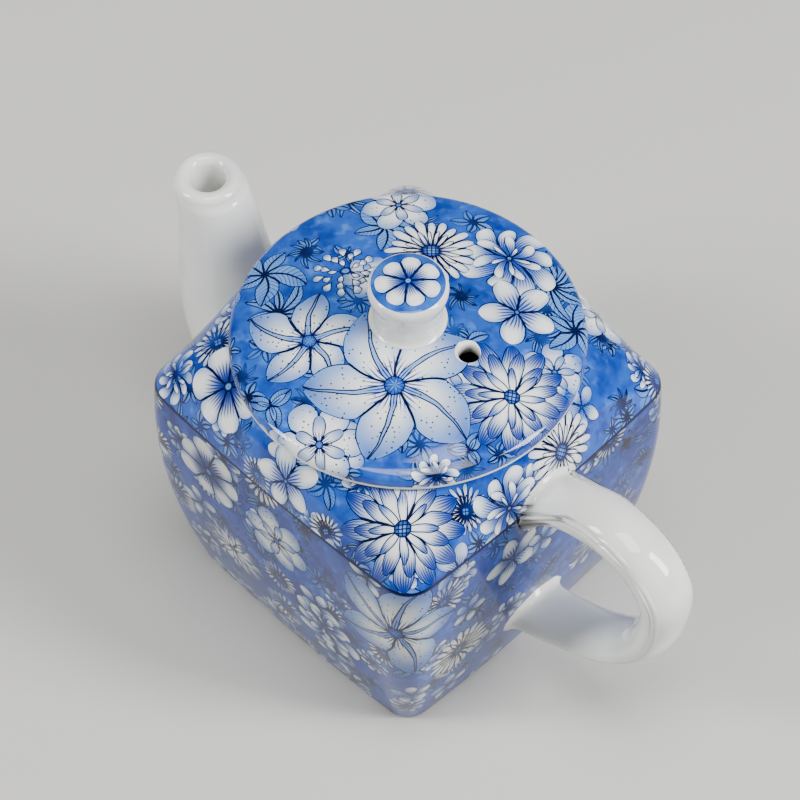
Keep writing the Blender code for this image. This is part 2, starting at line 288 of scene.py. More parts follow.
@dataclass(frozen=True)
class Whorl:
    """One ring of petals, drawn as an engraver does: outline, wash and strokes.

    Reach is a share of the flower's radius, and width, the widest half width, of the petal's
    length. Root and tip shape the petal: the larger the number, the thinner that end. A span is
    where along the petal, 0 at its root and 1 at its tip, a wash or the strokes are none and full.
    """

    petals: int
    reach: float = 1.0
    half_turn: float = 0.0
    swirl: float = 0.0
    width: float = 0.3
    root: float = 0.8
    tip: float = 0.6
    strokes: int = 0
    stroke_span: tuple[float, float] = (0.45, 1.0)
    wash_span: tuple[float, float] = (0.7, 1.2)
    wash: float = 0.5
    rib: float = 0.0
    spots: float = 0.0
    uneven: float = 0.12
    paper: Ink = Ink.WHITE
    tint: Ink = Ink.COBALT
    feathered: bool = False

    @property
    def fullness(self) -> float:
        """What the petal's curve is multiplied by, so that its widest half width is width."""
        p, q = self.root, self.tip
        return self.width * (p + q) ** (p + q) / (p**p * q**q)


class Kind(Enum):
    """The flowers and leaves of the print."""

    LILY = "lily"
    DAHLIA = "dahlia"
    ASTER = "aster"
    BLOSSOM = "blossom"
    PANSY = "pansy"
    SPOTTED = "spotted"
    LEAVES = "leaves"
    FERN = "fern"
    BUD = "bud"
    BERRIES = "berries"
    PEONY = "peony"


@dataclass(frozen=True)
class Flower:
    """A flower's whorls, the outermost first, and its heart with its share of the radius."""

    whorls: tuple[Whorl, ...]
    heart: Heart = Heart.NONE
    heart_share: float = 0.0


FLOWERS = {
    Kind.LILY: Flower(
        (
            Whorl(5, width=0.34, root=0.85, tip=0.72, swirl=0.45, strokes=9, stroke_span=(0.5, 0.0),
                  wash_span=(0.3, 1.05), wash=0.9, rib=0.7, spots=0.85, uneven=0.2),
        ),
        Heart.BEADS, 0.11,
    ),
    Kind.DAHLIA: Flower(
        (
            Whorl(12, width=0.18, root=0.9, tip=0.55, strokes=7, stroke_span=(0.45, 0.95),
                  wash_span=(0.45, 1.0), wash=1.0, tint=Ink.DEEP),
            Whorl(11, reach=0.8, half_turn=0.5, width=0.16, root=0.9, tip=0.55, strokes=5,
                  stroke_span=(0.45, 0.95), wash_span=(0.45, 1.0), wash=0.9, tint=Ink.DEEP),
            Whorl(8, reach=0.56, width=0.14, root=0.8, tip=0.58, strokes=3, stroke_span=(0.4, 1.0),
                  wash_span=(0.4, 1.0), wash=0.8),
        ),
        Heart.HATCHED, 0.13,
    ),
    Kind.ASTER: Flower(
        (
            Whorl(20, width=0.13, root=1.0, tip=0.3, strokes=1, stroke_span=(0.75, 0.2), wash=0.5),
            Whorl(17, reach=0.66, half_turn=0.5, width=0.1, root=0.9, tip=0.34, strokes=1,
                  stroke_span=(0.8, 0.2), wash=0.45),
        ),
        Heart.HATCHED, 0.2,
    ),
    Kind.BLOSSOM: Flower(
        (
            Whorl(5, width=0.33, root=0.75, tip=0.5, strokes=5, stroke_span=(0.75, 0.12),
                  wash_span=(0.75, 0.0), wash=0.8, uneven=0.05),
        ),
        Heart.BEADS, 0.08,
    ),
    Kind.PANSY: Flower(
        (
            Whorl(7, width=0.36, root=0.9, tip=0.34, strokes=7, stroke_span=(0.9, 0.15),
                  wash_span=(0.75, 0.1), wash=1.0, tint=Ink.DEEP),
        ),
        Heart.EYE, 0.12,
    ),
    Kind.SPOTTED: Flower(
        (
            Whorl(6, width=0.36, root=0.7, tip=0.42, spots=0.85, wash_span=(0.5, 1.05), wash=0.6),
            Whorl(6, reach=0.62, half_turn=0.5, width=0.24, root=0.7, tip=0.4, strokes=3,
                  stroke_span=(0.7, 0.1), wash_span=(0.3, 1.0), wash=0.7),
        ),
        Heart.BEADS, 0.1,
    ),
    Kind.LEAVES: Flower(
        (
            Whorl(5, width=0.28, root=0.8, tip=0.8, swirl=0.5, rib=0.14, wash_span=(0.3, 1.2),
                  wash=0.7, paper=Ink.PALE, uneven=0.4, feathered=True),
        ),
    ),
    Kind.FERN: Flower(
        (
            Whorl(8, width=0.16, root=0.8, tip=0.75, swirl=-0.7, rib=0.12, wash_span=(0.5, 1.2),
                  wash=0.7, paper=Ink.PALE, uneven=0.4, feathered=True),
        ),
    ),
    Kind.BUD: Flower(
        (
            Whorl(3, width=0.34, root=0.5, tip=0.62, wash_span=(0.2, 1.0), wash=0.6, uneven=0.35,
                  rib=0.2, paper=Ink.PALE, tint=Ink.DEEP, feathered=True),
            Whorl(3, reach=0.66, width=0.2, root=0.5, tip=0.6, strokes=1, stroke_span=(1.0, 0.2),
                  paper=Ink.PALE, uneven=0.35),
        ),
    ),
    Kind.BERRIES: Flower(
        (
            Whorl(11, width=0.15, root=9.0, tip=1.6, wash_span=(0.72, 0.98), wash=0.8, uneven=0.0),
            Whorl(8, reach=0.76, half_turn=0.3, width=0.17, root=8.0, tip=1.8, wash=0.9,
                  wash_span=(0.68, 0.98), uneven=0.0),
            Whorl(5, reach=0.52, half_turn=0.5, width=0.2, root=4.0, tip=1.6, wash=0.9,
                  wash_span=(0.6, 0.98), uneven=0.0),
        ),
        Heart.EYE, 0.16,
    ),
    Kind.PEONY: Flower(
        (
            Whorl(9, width=0.25, root=1.2, tip=0.35, strokes=7, stroke_span=(0.98, 0.35), wash=1.0,
                  wash_span=(0.95, 0.3), swirl=0.5, uneven=0.25),
            Whorl(7, reach=0.7, half_turn=0.4, width=0.2, root=1.1, tip=0.36, strokes=5,
                  stroke_span=(0.95, 0.3), wash=1.0, wash_span=(0.9, 0.2), swirl=-0.4, uneven=0.25),
            Whorl(5, reach=0.42, width=0.16, root=0.9, tip=0.4, strokes=3, stroke_span=(0.9, 0.2),
                  wash=0.8, wash_span=(0.9, 0.1), uneven=0.2),
        ),
        Heart.EYE, 0.06,
    ),
}


class Stencils:
    """The engraved plates: one node group for each flower, made when it is first used."""

    LINE = 0.34  # the keyline's width on the surface, in millimetres, coarse enough to show
    SOFT = 0.1  # how far its edge fades
    EDGE_TINT = 0.75  # how much of the pale blue lies along a petal's sides
    STROKE = 0.9  # how dark the strokes are
    RIB_LINE = (0.1, 0.2)  # where the fine lines beside a midrib fade, in millimetres
    VEINS = 9.0  # side veins on a petal
    VEIN_SLANT = 1.8  # how many veins' room each leans forward on its way to the edge
    HATCH = 0.85  # from one line to the next in a hatched heart, in millimetres
    EYE_RING = 0.9  # from one ring to the next in an eye
    BEADS = 7.0  # beads round a heart

    def __init__(self) -> None:
        """Starts with no plate cut."""
        self.plates: dict[str, Tree] = {}

    def plate(self, kind: Kind) -> Tree:
        """The group that lays one flower over a colour.

        Args:
            kind: Which flower.

        Returns:
            A group with inputs Colour, Right, Up, Radius, Turn and Stipple, and output Colour.
        """
        if kind.value not in self.plates:
            self.plates[kind.value] = self._cut(kind)
        return self.plates[kind.value]

    def petals(self) -> Tree:
        """The group that works out where a point lies within a ring of petals.

        Returns:
            A group whose outputs are in millimetres, or shares of a petal.
        """
        if "petals" in self.plates:
            return self.plates["petals"]
        sizes = "Right Up Radius Count Turn Swirl Fullness Root Tip Uneven".split()
        found = "Inside Edge Along Side Share".split()
        floats = (dict.fromkeys(names, "Float") for names in (sizes, found))
        tree, given = new_group("petal_ring", "ShaderNodeTree", *floats)
        self.plates["petals"] = tree
        right, up, radius, count, turn, swirl, fullness, root, tip, uneven = (
            Signal(given[name]) for name in sizes
        )
        far = distance(right, up)
        reach = far / radius
        bearing = up.do("ARCTAN2", right) + turn
        bearing = swirl.do("MULTIPLY_ADD", reach, bearing)
        whole_turn = {0: math.tau, 1: count}
        pitch = Signal(add(tree, "ShaderNodeMath", whole_turn, operation="DIVIDE").outputs[0])
        whole = (bearing / pitch).do("ROUND")
        off = bearing - whole * pitch
        seed = whole.do("FLOORED_MODULO", count) + radius
        dice = add(tree, "ShaderNodeTexWhiteNoise", {"W": seed}, noise_dimensions="1D")
        shorter = Signal(dice.outputs["Value"]) * uneven
        length = radius * shorter.do("MULTIPLY_ADD", -1.0, 1.0)
        along = far * off.do("COSINE") / length
        side = far * off.do("SINE")
        ahead = along.do("MULTIPLY_ADD", -1.0, 1.0)
        half = along**root * ahead**tip * fullness * length
        inside = half - side.do("ABSOLUTE")
        border = far * (pitch * 0.5 - off.do("ABSOLUTE")).do("SINE")
        results = (inside, inside.do("MINIMUM", border), along, side, side / half)
        add(tree, "NodeGroupOutput", dict(zip(found, results)))
        return tree

    def _cut(self, kind: Kind) -> Tree:
        """Builds one flower's group from its whorls and heart.

        Args:
            kind: Which flower.

        Returns:
            The new group.
        """
        flower = FLOWERS[kind]
        floats = dict.fromkeys("Right Up Radius Turn Stipple".split(), "Float")
        inputs = {"Colour": "Color"} | floats
        name = "plate_" + kind.value
        tree, given = new_group(name, "ShaderNodeTree", inputs, {"Colour": "Color"})
        colour = given["Colour"]
        for whorl in flower.whorls:
            colour = self._whorl(tree, given, whorl, colour)
        if flower.heart is not Heart.NONE:
            colour = self._heart(tree, given, flower, colour)
        add(tree, "NodeGroupOutput", {"Colour": colour})
        return tree

    def _whorl(
        self, tree: Tree, given: bpy.types.NodeOutputs, whorl: Whorl, colour: Socket
    ) -> Socket:
        """Lays one ring of petals over a colour: paper, wash, strokes, rib, spots and keyline.

        Args:
            tree: The plate's tree.
            given: What the plate is given.
            whorl: The ring of petals.
            colour: The colour below.

        Returns:
            The colour with the petals on it.
        """
        radius = Signal(given["Radius"]) * whorl.reach
        pitch = math.tau / whorl.petals
        turn = Signal(given["Turn"]) + whorl.half_turn * pitch
        inputs = {
            "Right": given["Right"], "Up": given["Up"], "Radius": radius,
            "Count": float(whorl.petals), "Turn": turn, "Swirl": whorl.swirl,
            "Fullness": whorl.fullness, "Root": whorl.root, "Tip": whorl.tip,
            "Uneven": whorl.uneven,
        }
        ring = add(tree, "ShaderNodeGroup", inputs, node_tree=self.petals())
        found = {output.name: Signal(output) for output in ring.outputs}
        cover = found["Inside"].rise(0.0, self.SOFT)
        wash = found["Along"].grow(*whorl.wash_span)
        petal = mixed(wash * whorl.wash, whorl.paper.colour, whorl.tint.colour)
        edge_tint = found["Share"].do("ABSOLUTE").rise(0.3, 1.05) * self.EDGE_TINT
        petal = mixed(edge_tint, petal, Ink.PALE.colour)
        if whorl.rib:
            petal = self._rib(found, whorl, petal)
        if whorl.strokes:
            grown = found["Along"].grow(*whorl.stroke_span)
            comb = (found["Share"] * (math.pi * (whorl.strokes + 1))).do("COSINE") * 0.5 + 0.5
            strokes = (comb + grown - 1.0).rise(0.1, 0.55) * self.STROKE
            petal = mixed(strokes, petal, Ink.DEEP.colour)
        if whorl.spots:
            open_paper = found["Along"].rise(0.1, 0.3) * whorl.spots
            petal = mixed(open_paper * Signal(given["Stipple"]), petal, Ink.NAVY.colour)
        keyline = found["Edge"].fall(self.LINE - self.SOFT, self.LINE)
        return mixed(cover, colour, mixed(keyline, petal, Ink.NAVY.colour))

    def _rib(self, found: dict[str, Signal], whorl: Whorl, petal: Socket) -> Socket:
        """Draws a midrib between two fine lines, and side veins if the petal is feathered.

        Args:
            found: Where the point lies within its petal.
            whorl: The ring of petals.
            petal: The petal's colour so far.

        Returns:
            The colour with the rib on it.
        """
        breadth = found["Side"].do("ABSOLUTE")
        taper = found["Along"].do("MULTIPLY_ADD", -whorl.rib, whorl.rib * 1.15)
        off = (breadth - taper).do("ABSOLUTE")
        petal = mixed((taper - breadth).rise(0.0, self.SOFT) * 0.8, petal, Ink.PALE.colour)
        petal = mixed(off.fall(*self.RIB_LINE), petal, Ink.NAVY.colour)
        if whorl.feathered:
            rows = found["Along"] * self.VEINS
            veins = (rows - found["Share"].do("ABSOLUTE") * self.VEIN_SLANT) * math.tau
            petal = mixed(veins.do("COSINE").rise(0.72, 0.95) * 0.7, petal, Ink.NAVY.colour)
        return petal

    def _heart(
        self, tree: Tree, given: bpy.types.NodeOutputs, flower: Flower, colour: Socket
    ) -> Socket:
        """Lays the middle of a flower over its petals.

        Args:
            tree: The plate's tree.
            given: What the plate is given.
            flower: The flower.
            colour: The colour below.

        Returns:
            The colour with the heart on it.
        """
        right, up = Signal(given["Right"]), Signal(given["Up"])
        far = distance(right, up)
        radius = Signal(given["Radius"]) * flower.heart_share
        inside = radius - far
        disc = mixed((far / radius).rise(0.2, 1.0), Ink.PALE.colour, Ink.DEEP.colour)
        if flower.heart is Heart.HATCHED:
            for across in (right, up):
                lines = (across * (math.tau / self.HATCH)).do("COSINE")
                disc = mixed(lines.rise(0.35, 0.75) * 0.9, disc, Ink.NAVY.colour)
        elif flower.heart is Heart.EYE:
            rings = (far * (math.tau / self.EYE_RING)).do("COSINE")
            disc = mixed(rings.rise(0.2, 0.8) * 0.8, disc, Ink.NAVY.colour)
        else:
            beads = (up.do("ARCTAN2", right) * self.BEADS).do("COSINE")
            disc = mixed(beads.rise(-0.2, 0.2), disc, Ink.COBALT.colour)
            disc = mixed(beads.do("ABSOLUTE").fall(0.2, 0.4), disc, Ink.NAVY.colour)
        disc = mixed(inside.fall(self.LINE - self.SOFT, self.LINE), disc, Ink.NAVY.colour)
        return mixed(inside.rise(0.0, self.SOFT), colour, disc)


# The finishes


@dataclass(frozen=True)
class Bloom:
    """One flower or spray of the print, placed in millimetres and turned in degrees."""

    kind: Kind
    right: float
    up: float
    radius: float
    turn: float = 0.0


@dataclass(frozen=True)
class Scatter:
    """Small flowers strewn over the whole print, one in each cell of a turned net.

    Spacing is in millimetres, turn in radians, jitter a share of a cell, and missing the share of
    cells that stay empty.
    """

    kind: Kind
    spacing: float
    turn: float
    missing: float = 0.0
    jitter: float = 0.2


@dataclass
class Sheet:
    """A transfer sheet while its flowers are laid, each over the colour so far."""

    TIE = 1e-7  # how far a tied place moves, in millimetres
    SMALLEST = 0.7  # a strewn flower's least radius over the most its cell has room for

    tree: Tree
    stencils: Stencils
    place: Place
    stipple: Signal
    colour: Socket

    def tied_place(self) -> Place:
        """The place, tied to the colour laid so far.

        Without the tie the shader is worked out for every flower at once, which overruns its
        memory and turns the surface black.

        Returns:
            Right and up, moved by less than a millionth of a millimetre.
        """
        red = Signal(add(self.tree, "ShaderNodeSeparateColor", {0: self.colour}).outputs[0])
        tie = red * self.TIE
        return self.place[0] + tie, self.place[1] + tie

    def press(self, kind: Kind, off: Place, radius: Signal | float, turn: Signal | float) -> None:
        """Lays one flower over the colour.

        Args:
            kind: Which flower.
            off: How far right of the flower's middle and above it the surface's place is.
            radius: The flower's radius in millimetres.
            turn: How far it is turned, in radians.
        """
        inputs = {
            "Colour": self.colour, "Right": off[0], "Up": off[1], "Radius": radius, "Turn": turn,
            "Stipple": self.stipple,
        }
        plate = self.stencils.plate(kind)
        flower = add(self.tree, "ShaderNodeGroup", inputs, node_tree=plate)
        self.colour = flower.outputs["Colour"]

    def lay(self, bloom: Bloom) -> None:
        """Lays one listed flower.

        Args:
            bloom: The flower and its place.
        """
        right, up = self.tied_place()
        off = (right - bloom.right, up - bloom.up)
        self.press(bloom.kind, off, bloom.radius, math.radians(bloom.turn))

    def strew(self, scatter: Scatter) -> None:
        """Lays one small flower in each cell of a net, turned and sized by the cell's own draw.

        Args:
            scatter: The flower and its net.
        """
        right, up = self.tied_place()
        cosine = math.cos(scatter.turn) / scatter.spacing
        sine = math.sin(scatter.turn) / scatter.spacing
        across = right * cosine + up * sine
        along = up * cosine - right * sine
        column, row = across.do("FLOOR"), along.do("FLOOR")
        seed = column.do("MULTIPLY_ADD", 12.9898, row * 78.233)  # no two near cells draw alike
        dice = add(self.tree, "ShaderNodeTexWhiteNoise", {"W": seed}, noise_dimensions="1D")
        draw = add(self.tree, "ShaderNodeSeparateColor", {0: dice.outputs["Color"]}).outputs
        right, up = (
            (line - cell - 0.5 - (Signal(chance) - 0.5) * scatter.jitter) * scatter.spacing
            for line, cell, chance in ((across, column, draw[0]), (along, row, draw[1]))
        )
        size = ((Signal(draw[0]) + Signal(draw[2])) * 7.3).do("FRACT")
        lot = (Signal(draw[1]) + Signal(draw[2])).do("FRACT")
        there = lot.do("GREATER_THAN", scatter.missing)
        most = scatter.spacing * (1 - scatter.jitter) / 2
        least = self.SMALLEST * most
        radius = size.do("MULTIPLY_ADD", most - least, least) * there + 0.01
        self.press(scatter.kind, (right, up), radius, Signal(draw[2]) * math.tau)


def glaze(tree: Tree, shader: Node, roughness: float, ior: float) -> None:
    """Gives a shader the fired glaze: faint ripples 11 mm across, a fine grain and varying gloss.

    Args:
        tree: The material's tree.
        shader: Its Principled shader.
        roughness: The gloss in the middle of its range.
        ior: The glaze's index of refraction.
    """
    ripple_depth, gloss_range = 0.4 * MM, 0.06
    shader.inputs["IOR"].default_value = ior
    where = add(tree, "ShaderNodeTexCoord").outputs["Object"]
    ripple, grain = (
        Signal(add(tree, "ShaderNodeTexNoise", {"Vector": where, **size}).outputs["Fac"])
        for size in ({"Scale": 90.0, "Detail": 2.0}, {"Scale": 900.0, "Detail": 1.0})
    )
    height = grain.do("MULTIPLY_ADD", 0.05, ripple)
    relief = {"Strength": 0.12, "Distance": ripple_depth, "Height": height}
    bump = add(tree, "ShaderNodeBump", relief)
    tree.links.new(bump.outputs["Normal"], shader.inputs["Normal"])
    gloss = ripple.do("MULTIPLY_ADD", gloss_range, roughness - gloss_range / 2)
    tree.links.new(gloss.socket, shader.inputs["Roughness"])


@dataclass(frozen=True)
class TransferPrint:
    """A blue transfer under a clear porcelain glaze.

    The engraved flowers give crisp navy lines and flat washes. The cobalt ground between them was
    laid on with a sponge, so it is mottled, and the glaze over all of it is glossy as glass.
    """

    name: str
    blooms: tuple[Bloom, ...]
    scatters: tuple[Scatter, ...] = ()
    seam_height: float = 0.0
    # a gamma that deepens the print's blues; its higher value on the sides is also painted shade
    ink_depth_and_shade: float = 1.4
    recede: float = 0.7
    # a brightness multiplier: below 1 it dims the whole print as painted shade
    density: float = 1.0
    wobble: float = 0.35  # how far the hand-cut lines stray, in millimetres
    stray_size: float = 7.0  # how long they take to do so
    stipple_pitch: float = 1 / 0.85  # from one dot to the next, coarser than real so that it shows
    roughness: float = 0.07
    ior: float = 1.45

    def material(self, stencils: Stencils) -> Material:
        """Builds the node tree.

        Args:
            stencils: The flowers' plates.

        Returns:
            The material, which reads the print map and Object coordinates.
        """
        material, tree, shader = new_finish(self.name)
        place = add(tree, "ShaderNodeUVMap", uv_map=PRINT_MAP).outputs["UV"]
        stray = {"Vector": place, "Scale": 1 / self.stray_size, "Detail": 1.0}
        hand = add(tree, "ShaderNodeTexNoise", stray)
        drift = add(tree, "ShaderNodeSeparateColor", {0: hand.outputs["Color"]}).outputs
        reach = 4 * self.wobble  # noise strays about a quarter from its middle
        apart = add(tree, "ShaderNodeSeparateXYZ", {0: place}).outputs
        right, up = (Signal(apart[i]) + (Signal(drift[i]) - 0.5) * reach for i in (0, 1))
        ground = self._ground(tree, place)
        cells = {"Vector": place, "Scale": 1 / self.stipple_pitch, "Randomness": 0.6}
        dots = add(tree, "ShaderNodeTexVoronoi", cells)
        stipple = Signal(dots.outputs["Distance"]).fall(0.14, 0.22)
        sheet = Sheet(tree, stencils, (right, up), stipple, ground)
        for scatter in self.scatters:
            sheet.strew(scatter)
        faded = Signal(hand.outputs["Fac"]).rise(0.3, 0.8) * self.recede
        sheet.colour = mixed(faded, sheet.colour, Ink.COBALT.colour)
        for bloom in self.blooms:
            sheet.lay(bloom)
        colour = self._seam_line(tree, sheet.colour) if self.seam_height else sheet.colour
        # the gamma deepens the ink, and where it is set higher, on the sides, it darkens the print
        # as painted shade
        deepened_and_shaded = {"Color": colour, "Gamma": self.ink_depth_and_shade}
        colour = add(tree, "ShaderNodeGamma", deepened_and_shaded).outputs[0]
        # the Value multiplier dims the print: painted shade where it is below 1
        dimmed = {"Color": colour, "Value": self.density}
        colour = add(tree, "ShaderNodeHueSaturation", dimmed).outputs[0]
        tree.links.new(colour, shader.inputs["Base Color"])
        glaze(tree, shader, self.roughness, self.ior)
        return material

    def _ground(self, tree: Tree, place: Socket) -> Socket:
        """The sponged cobalt between the flowers: soft patches of about 9 and 3 mm.

        Args:
            tree: The material's tree.
            place: The place on the print.

        Returns:
            The ground's colour.
        """
        broad, fine = (
            Signal(add(tree, "ShaderNodeTexNoise", {"Vector": place, **size}).outputs["Fac"])
            for size in ({"Scale": 1 / 9.0, "Detail": 3.0}, {"Scale": 1 / 3.2, "Detail": 2.0})
        )
        colour = mixed(broad.rise(0.38, 0.6), Ink.DEEP.colour, Ink.COBALT.colour)
        colour = mixed(fine.rise(0.45, 0.75) * 0.6, colour, Ink.LIGHT.colour)
        return mixed((broad * fine).rise(0.3, 0.42) * 0.5, colour, Ink.PALE.colour)

    def _seam_line(self, tree: Tree, colour: Socket) -> Socket:
        """The navy line painted along the seam, where the two sheets of the transfer meet.

        Args:
            tree: The material's tree.
            colour: The colour below.

        Returns:
            The colour with the line on it.
        """
        where = add(tree, "ShaderNodeTexCoord").outputs["Object"]
        height = Signal(add(tree, "ShaderNodeSeparateXYZ", {0: where}).outputs[2])
        off = (height - self.seam_height).do("ABSOLUTE") / MM
        return mixed(off.fall(0.25, 0.4), colour, Ink.NAVY.colour)


@dataclass(frozen=True)
class WhiteGlaze:
    """Clear glaze over white porcelain: a cool milky white that pools a little greyer."""

    name: str = "white_porcelain_glaze"
    light: str = "e3e4df"
    dark: str = "cfd3d0"
    speck: str = "8d8a80"
    roughness: float = 0.07
    ior: float = 1.5

    def material(self) -> Material:
        """Builds the node tree.

        Returns:
            The material, which reads Object coordinates.
        """
        material, tree, shader = new_finish(self.name)
        where = add(tree, "ShaderNodeTexCoord").outputs["Object"]
        clouds = {"Vector": where, "Scale": 45.0, "Detail": 2.0}
        pool = Signal(add(tree, "ShaderNodeTexNoise", clouds).outputs["Fac"])
        grains = add(tree, "ShaderNodeTexVoronoi", {"Vector": where, "Scale": 260.0})
        specks = Signal(grains.outputs["Distance"])
        colour = mixed(pool.rise(0.4, 0.7), linear(self.light), linear(self.dark))
        colour = mixed(specks.fall(0.03, 0.06) * 0.25, colour, linear(self.speck))
        tree.links.new(colour, shader.inputs["Base Color"])
        glaze(tree, shader, self.roughness, self.ior)
        return material


@dataclass(frozen=True)
class BareBiscuit:
    """Unglazed porcelain, ground flat: dry, off-white and finely gritty."""

    name: str = "bare_porcelain_biscuit"
    light: str = "dcd7cc"
    dark: str = "bdb6a8"
    roughness: float = 0.6
    grit_depth: float = 0.1 * MM

    def material(self) -> Material:
        """Builds the node tree.

        Returns:
            The material, which reads Object coordinates.
        """
        material, tree, shader = new_finish(self.name)
        where = add(tree, "ShaderNodeTexCoord").outputs["Object"]
        fine = {"Vector": where, "Scale": 1500.0, "Detail": 3.0}
        grit = add(tree, "ShaderNodeTexNoise", fine).outputs["Fac"]
        clouds = {"Vector": where, "Scale": 120.0}
        stain = Signal(add(tree, "ShaderNodeTexNoise", clouds).outputs["Fac"])
        colour = mixed(stain.rise(0.35, 0.7), linear(self.light), linear(self.dark))
        tree.links.new(colour, shader.inputs["Base Color"])
        relief = {"Strength": 0.5, "Distance": self.grit_depth, "Height": grit}
        bump = add(tree, "ShaderNodeBump", relief)
        tree.links.new(bump.outputs["Normal"], shader.inputs["Normal"])
        shader.inputs["Roughness"].default_value = self.roughness
        return material


# Mesh work


@dataclass
class Shell:
    """A closed skin through rings of points, with a face strip between each ring and the next."""

    rings: np.ndarray
    start_pole: Point | None = None
    end_pole: Point | None = None
    joined: bool = False

    def faces(self) -> list[tuple[int, ...]]:
        """The quads ring by ring, then the fans at the poles or the strip that joins the ends.

        Returns:
            Vertex numbers of each face.
        """
        count, sides = self.rings.shape[:2]
        found: list[tuple[int, ...]] = []
        for i in range(count if self.joined else count - 1):
            low, high = i * sides, (i + 1) % count * sides
            for j in range(sides):
                k = (j + 1) % sides
                found.append((low + j, low + k, high + k, high + j))
        pole = count * sides
        if self.start_pole is not None:
            found += [(pole, (j + 1) % sides, j) for j in range(sides)]
            pole += 1
        if self.end_pole is not None:
            last = (count - 1) * sides
            found += [(pole, last + j, last + (j + 1) % sides) for j in range(sides)]
        return found

    def raw_mesh(self, name: str) -> Mesh:
        """The skin as a mesh whose faces may still point inward.

        Args:
            name: The mesh's name.

        Returns:
            The new mesh.
        """
        points = [tuple(point) for ring in self.rings for point in ring]
        points += [pole for pole in (self.start_pole, self.end_pole) if pole is not None]
        mesh = bpy.data.meshes.new(name)
        mesh.from_pydata(points, [], self.faces())
        return mesh

    def mesh(self, name: str) -> Mesh:
        """The skin as a smooth mesh with its faces outward.

        Args:
            name: The mesh's name.

        Returns:
            The new mesh.
        """
        mesh = self.raw_mesh(name)
        smooth_outward(mesh)
        return mesh


def smooth_outward(mesh: Mesh) -> None:
    """Shades a closed mesh smooth and turns its faces outward if the volume inside is negative.

    Args:
        mesh: The mesh.
    """
    work = bmesh.new()
    work.from_mesh(mesh)
    held = work.calc_volume(signed=True)
    work.free()
    if held < 0:
        mesh.flip_normals()
    mesh.shade_smooth()


def place_in_scene(name: str, mesh: Mesh) -> Piece:
    """Makes a new object at the origin.

    Args:
        name: Its name.
        mesh: The mesh that it shows.

    Returns:
        The new object.
    """
    piece = bpy.data.objects.new(name, mesh)
    bpy.context.scene.collection.objects.link(piece)
    return piece


def make_plain(piece: Piece) -> Mesh:
    """Turns what a piece's modifiers make into its own mesh.

    Args:
        piece: The piece, which has no modifiers afterwards.

    Returns:
        The piece's new mesh.
    """
    graph = bpy.context.evaluated_depsgraph_get()
    finished = bpy.data.meshes.new_from_object(piece.evaluated_get(graph))
    piece.modifiers.clear()
    piece.data = finished
    return finished


def cut_away(piece: Piece, shape: Shell, finish: Material) -> None:
    """Cuts a closed shape out of a piece.

    Args:
        piece: The piece that is cut.
        shape: What is taken away.
        finish: The material that the shape has.
    """
    cutter = place_in_scene("cutter", shape.mesh("cutter"))
    cutter.data.materials.append(finish)
    modifier = piece.modifiers.new("cut", "BOOLEAN")
    modifier.operation = "DIFFERENCE"
    modifier.solver = "EXACT"
    modifier.object = cutter
    make_plain(piece)
    bpy.data.objects.remove(cutter, do_unlink=True)


def vertex_places(mesh: Mesh) -> np.ndarray:
    """Reads where a mesh's points are.

    Args:
        mesh: The mesh.

    Returns:
        One row for each point.
    """
    points = np.zeros(len(mesh.vertices) * 3)
    mesh.vertices.foreach_get("co", points)
    return points.reshape(-1, 3)


def lay_map(mesh: Mesh, flat: np.ndarray) -> None:
    """Gives a mesh its print map.

    Args:
        mesh: The mesh.
        flat: Right and up in metres for each corner of each face.
    """
    layer = mesh.uv_layers.new(name=PRINT_MAP)
    layer.data.foreach_set("uv", (flat / MM).astype(np.float32).ravel())


def clad(mesh: Mesh, finishes: Sequence[Material], strips: Sequence[int], sides: int) -> None:
    """Gives each strip of faces its finish.

    Args:
        mesh: The mesh.
        finishes: The materials.
        strips: Which of them each strip has, then each fan.
        sides: How many faces are in a strip.
    """
    mesh.materials.clear()
    for finish in finishes:
        mesh.materials.append(finish)
    slots = np.repeat(np.array(strips), sides)
    mesh.polygons.foreach_set("material_index", slots.astype(np.int32))


def smooth_path(stations: Sequence[Sequence[float]], steps: int) -> np.ndarray:
    """Stations joined by Catmull-Rom curves.

    Args:
        stations: Tuples of any quantities.
        steps: How many points from one station to the next.

    Returns:
        One row for each point.
    """
    ends = [stations[0], *stations, stations[-1]]
    path = []
    for around in zip(ends, ends[1:], ends[2:], ends[3:]):
        a, b, c, d = (np.array(station, float) for station in around)
        for step in range(steps):
            t = step / steps
            bend = (2 * a - 5 * b + 4 * c - d) * t**2 + (3 * b - a - 3 * c + d) * t**3
            path.append(0.5 * (2 * b + (c - a) * t + bend))
    path.append(np.array(stations[-1], float))
    return np.array(path)


def bearings(sides: int) -> np.ndarray:
    """Even steps round a full turn, in radians."""
    return math.tau * np.arange(sides) / sides


def turned_rings(
    axis: tuple[float, float], profile: Iterable[tuple[float, float]], sides: int
) -> np.ndarray:
    """Level rings round an upright axis.

    Args:
        axis: Where the axis stands.
        profile: Each ring's radius and height.
        sides: Points in a ring.

    Returns:
        Rings of points.
    """
    angles = bearings(sides)
    rings = []
    for radius, height in profile:
        x = axis[0] + radius * np.cos(angles)
        y = axis[1] + radius * np.sin(angles)
        rings.append(np.stack([x, y, np.full(sides, height)], axis=1))
    return np.array(rings)


# The pieces


class Zone(IntEnum):
    """The pot's finishes, in the order of its material slots."""

    UNDERSIDE = 0
    FOOT = 1
    SIDE = 2
    SHOULDER = 3
    LINING = 4


class Level(NamedTuple):
    """One ring of the pot's skin, somewhere on the way from a square plan to a round one.

    The shape's rule reads each of these numbers by its name.
    """

    size: float = 0.0  # the square's size over the seam's
    round: float = 0.0  # the circle's radius
    low: float = 0.0  # the square's height
    high: float = 0.0  # the circle's height
    share: float = 0.0  # how far the ring is from the square to the circle
    swell: float = 0.0  # how far it bulges out on that way


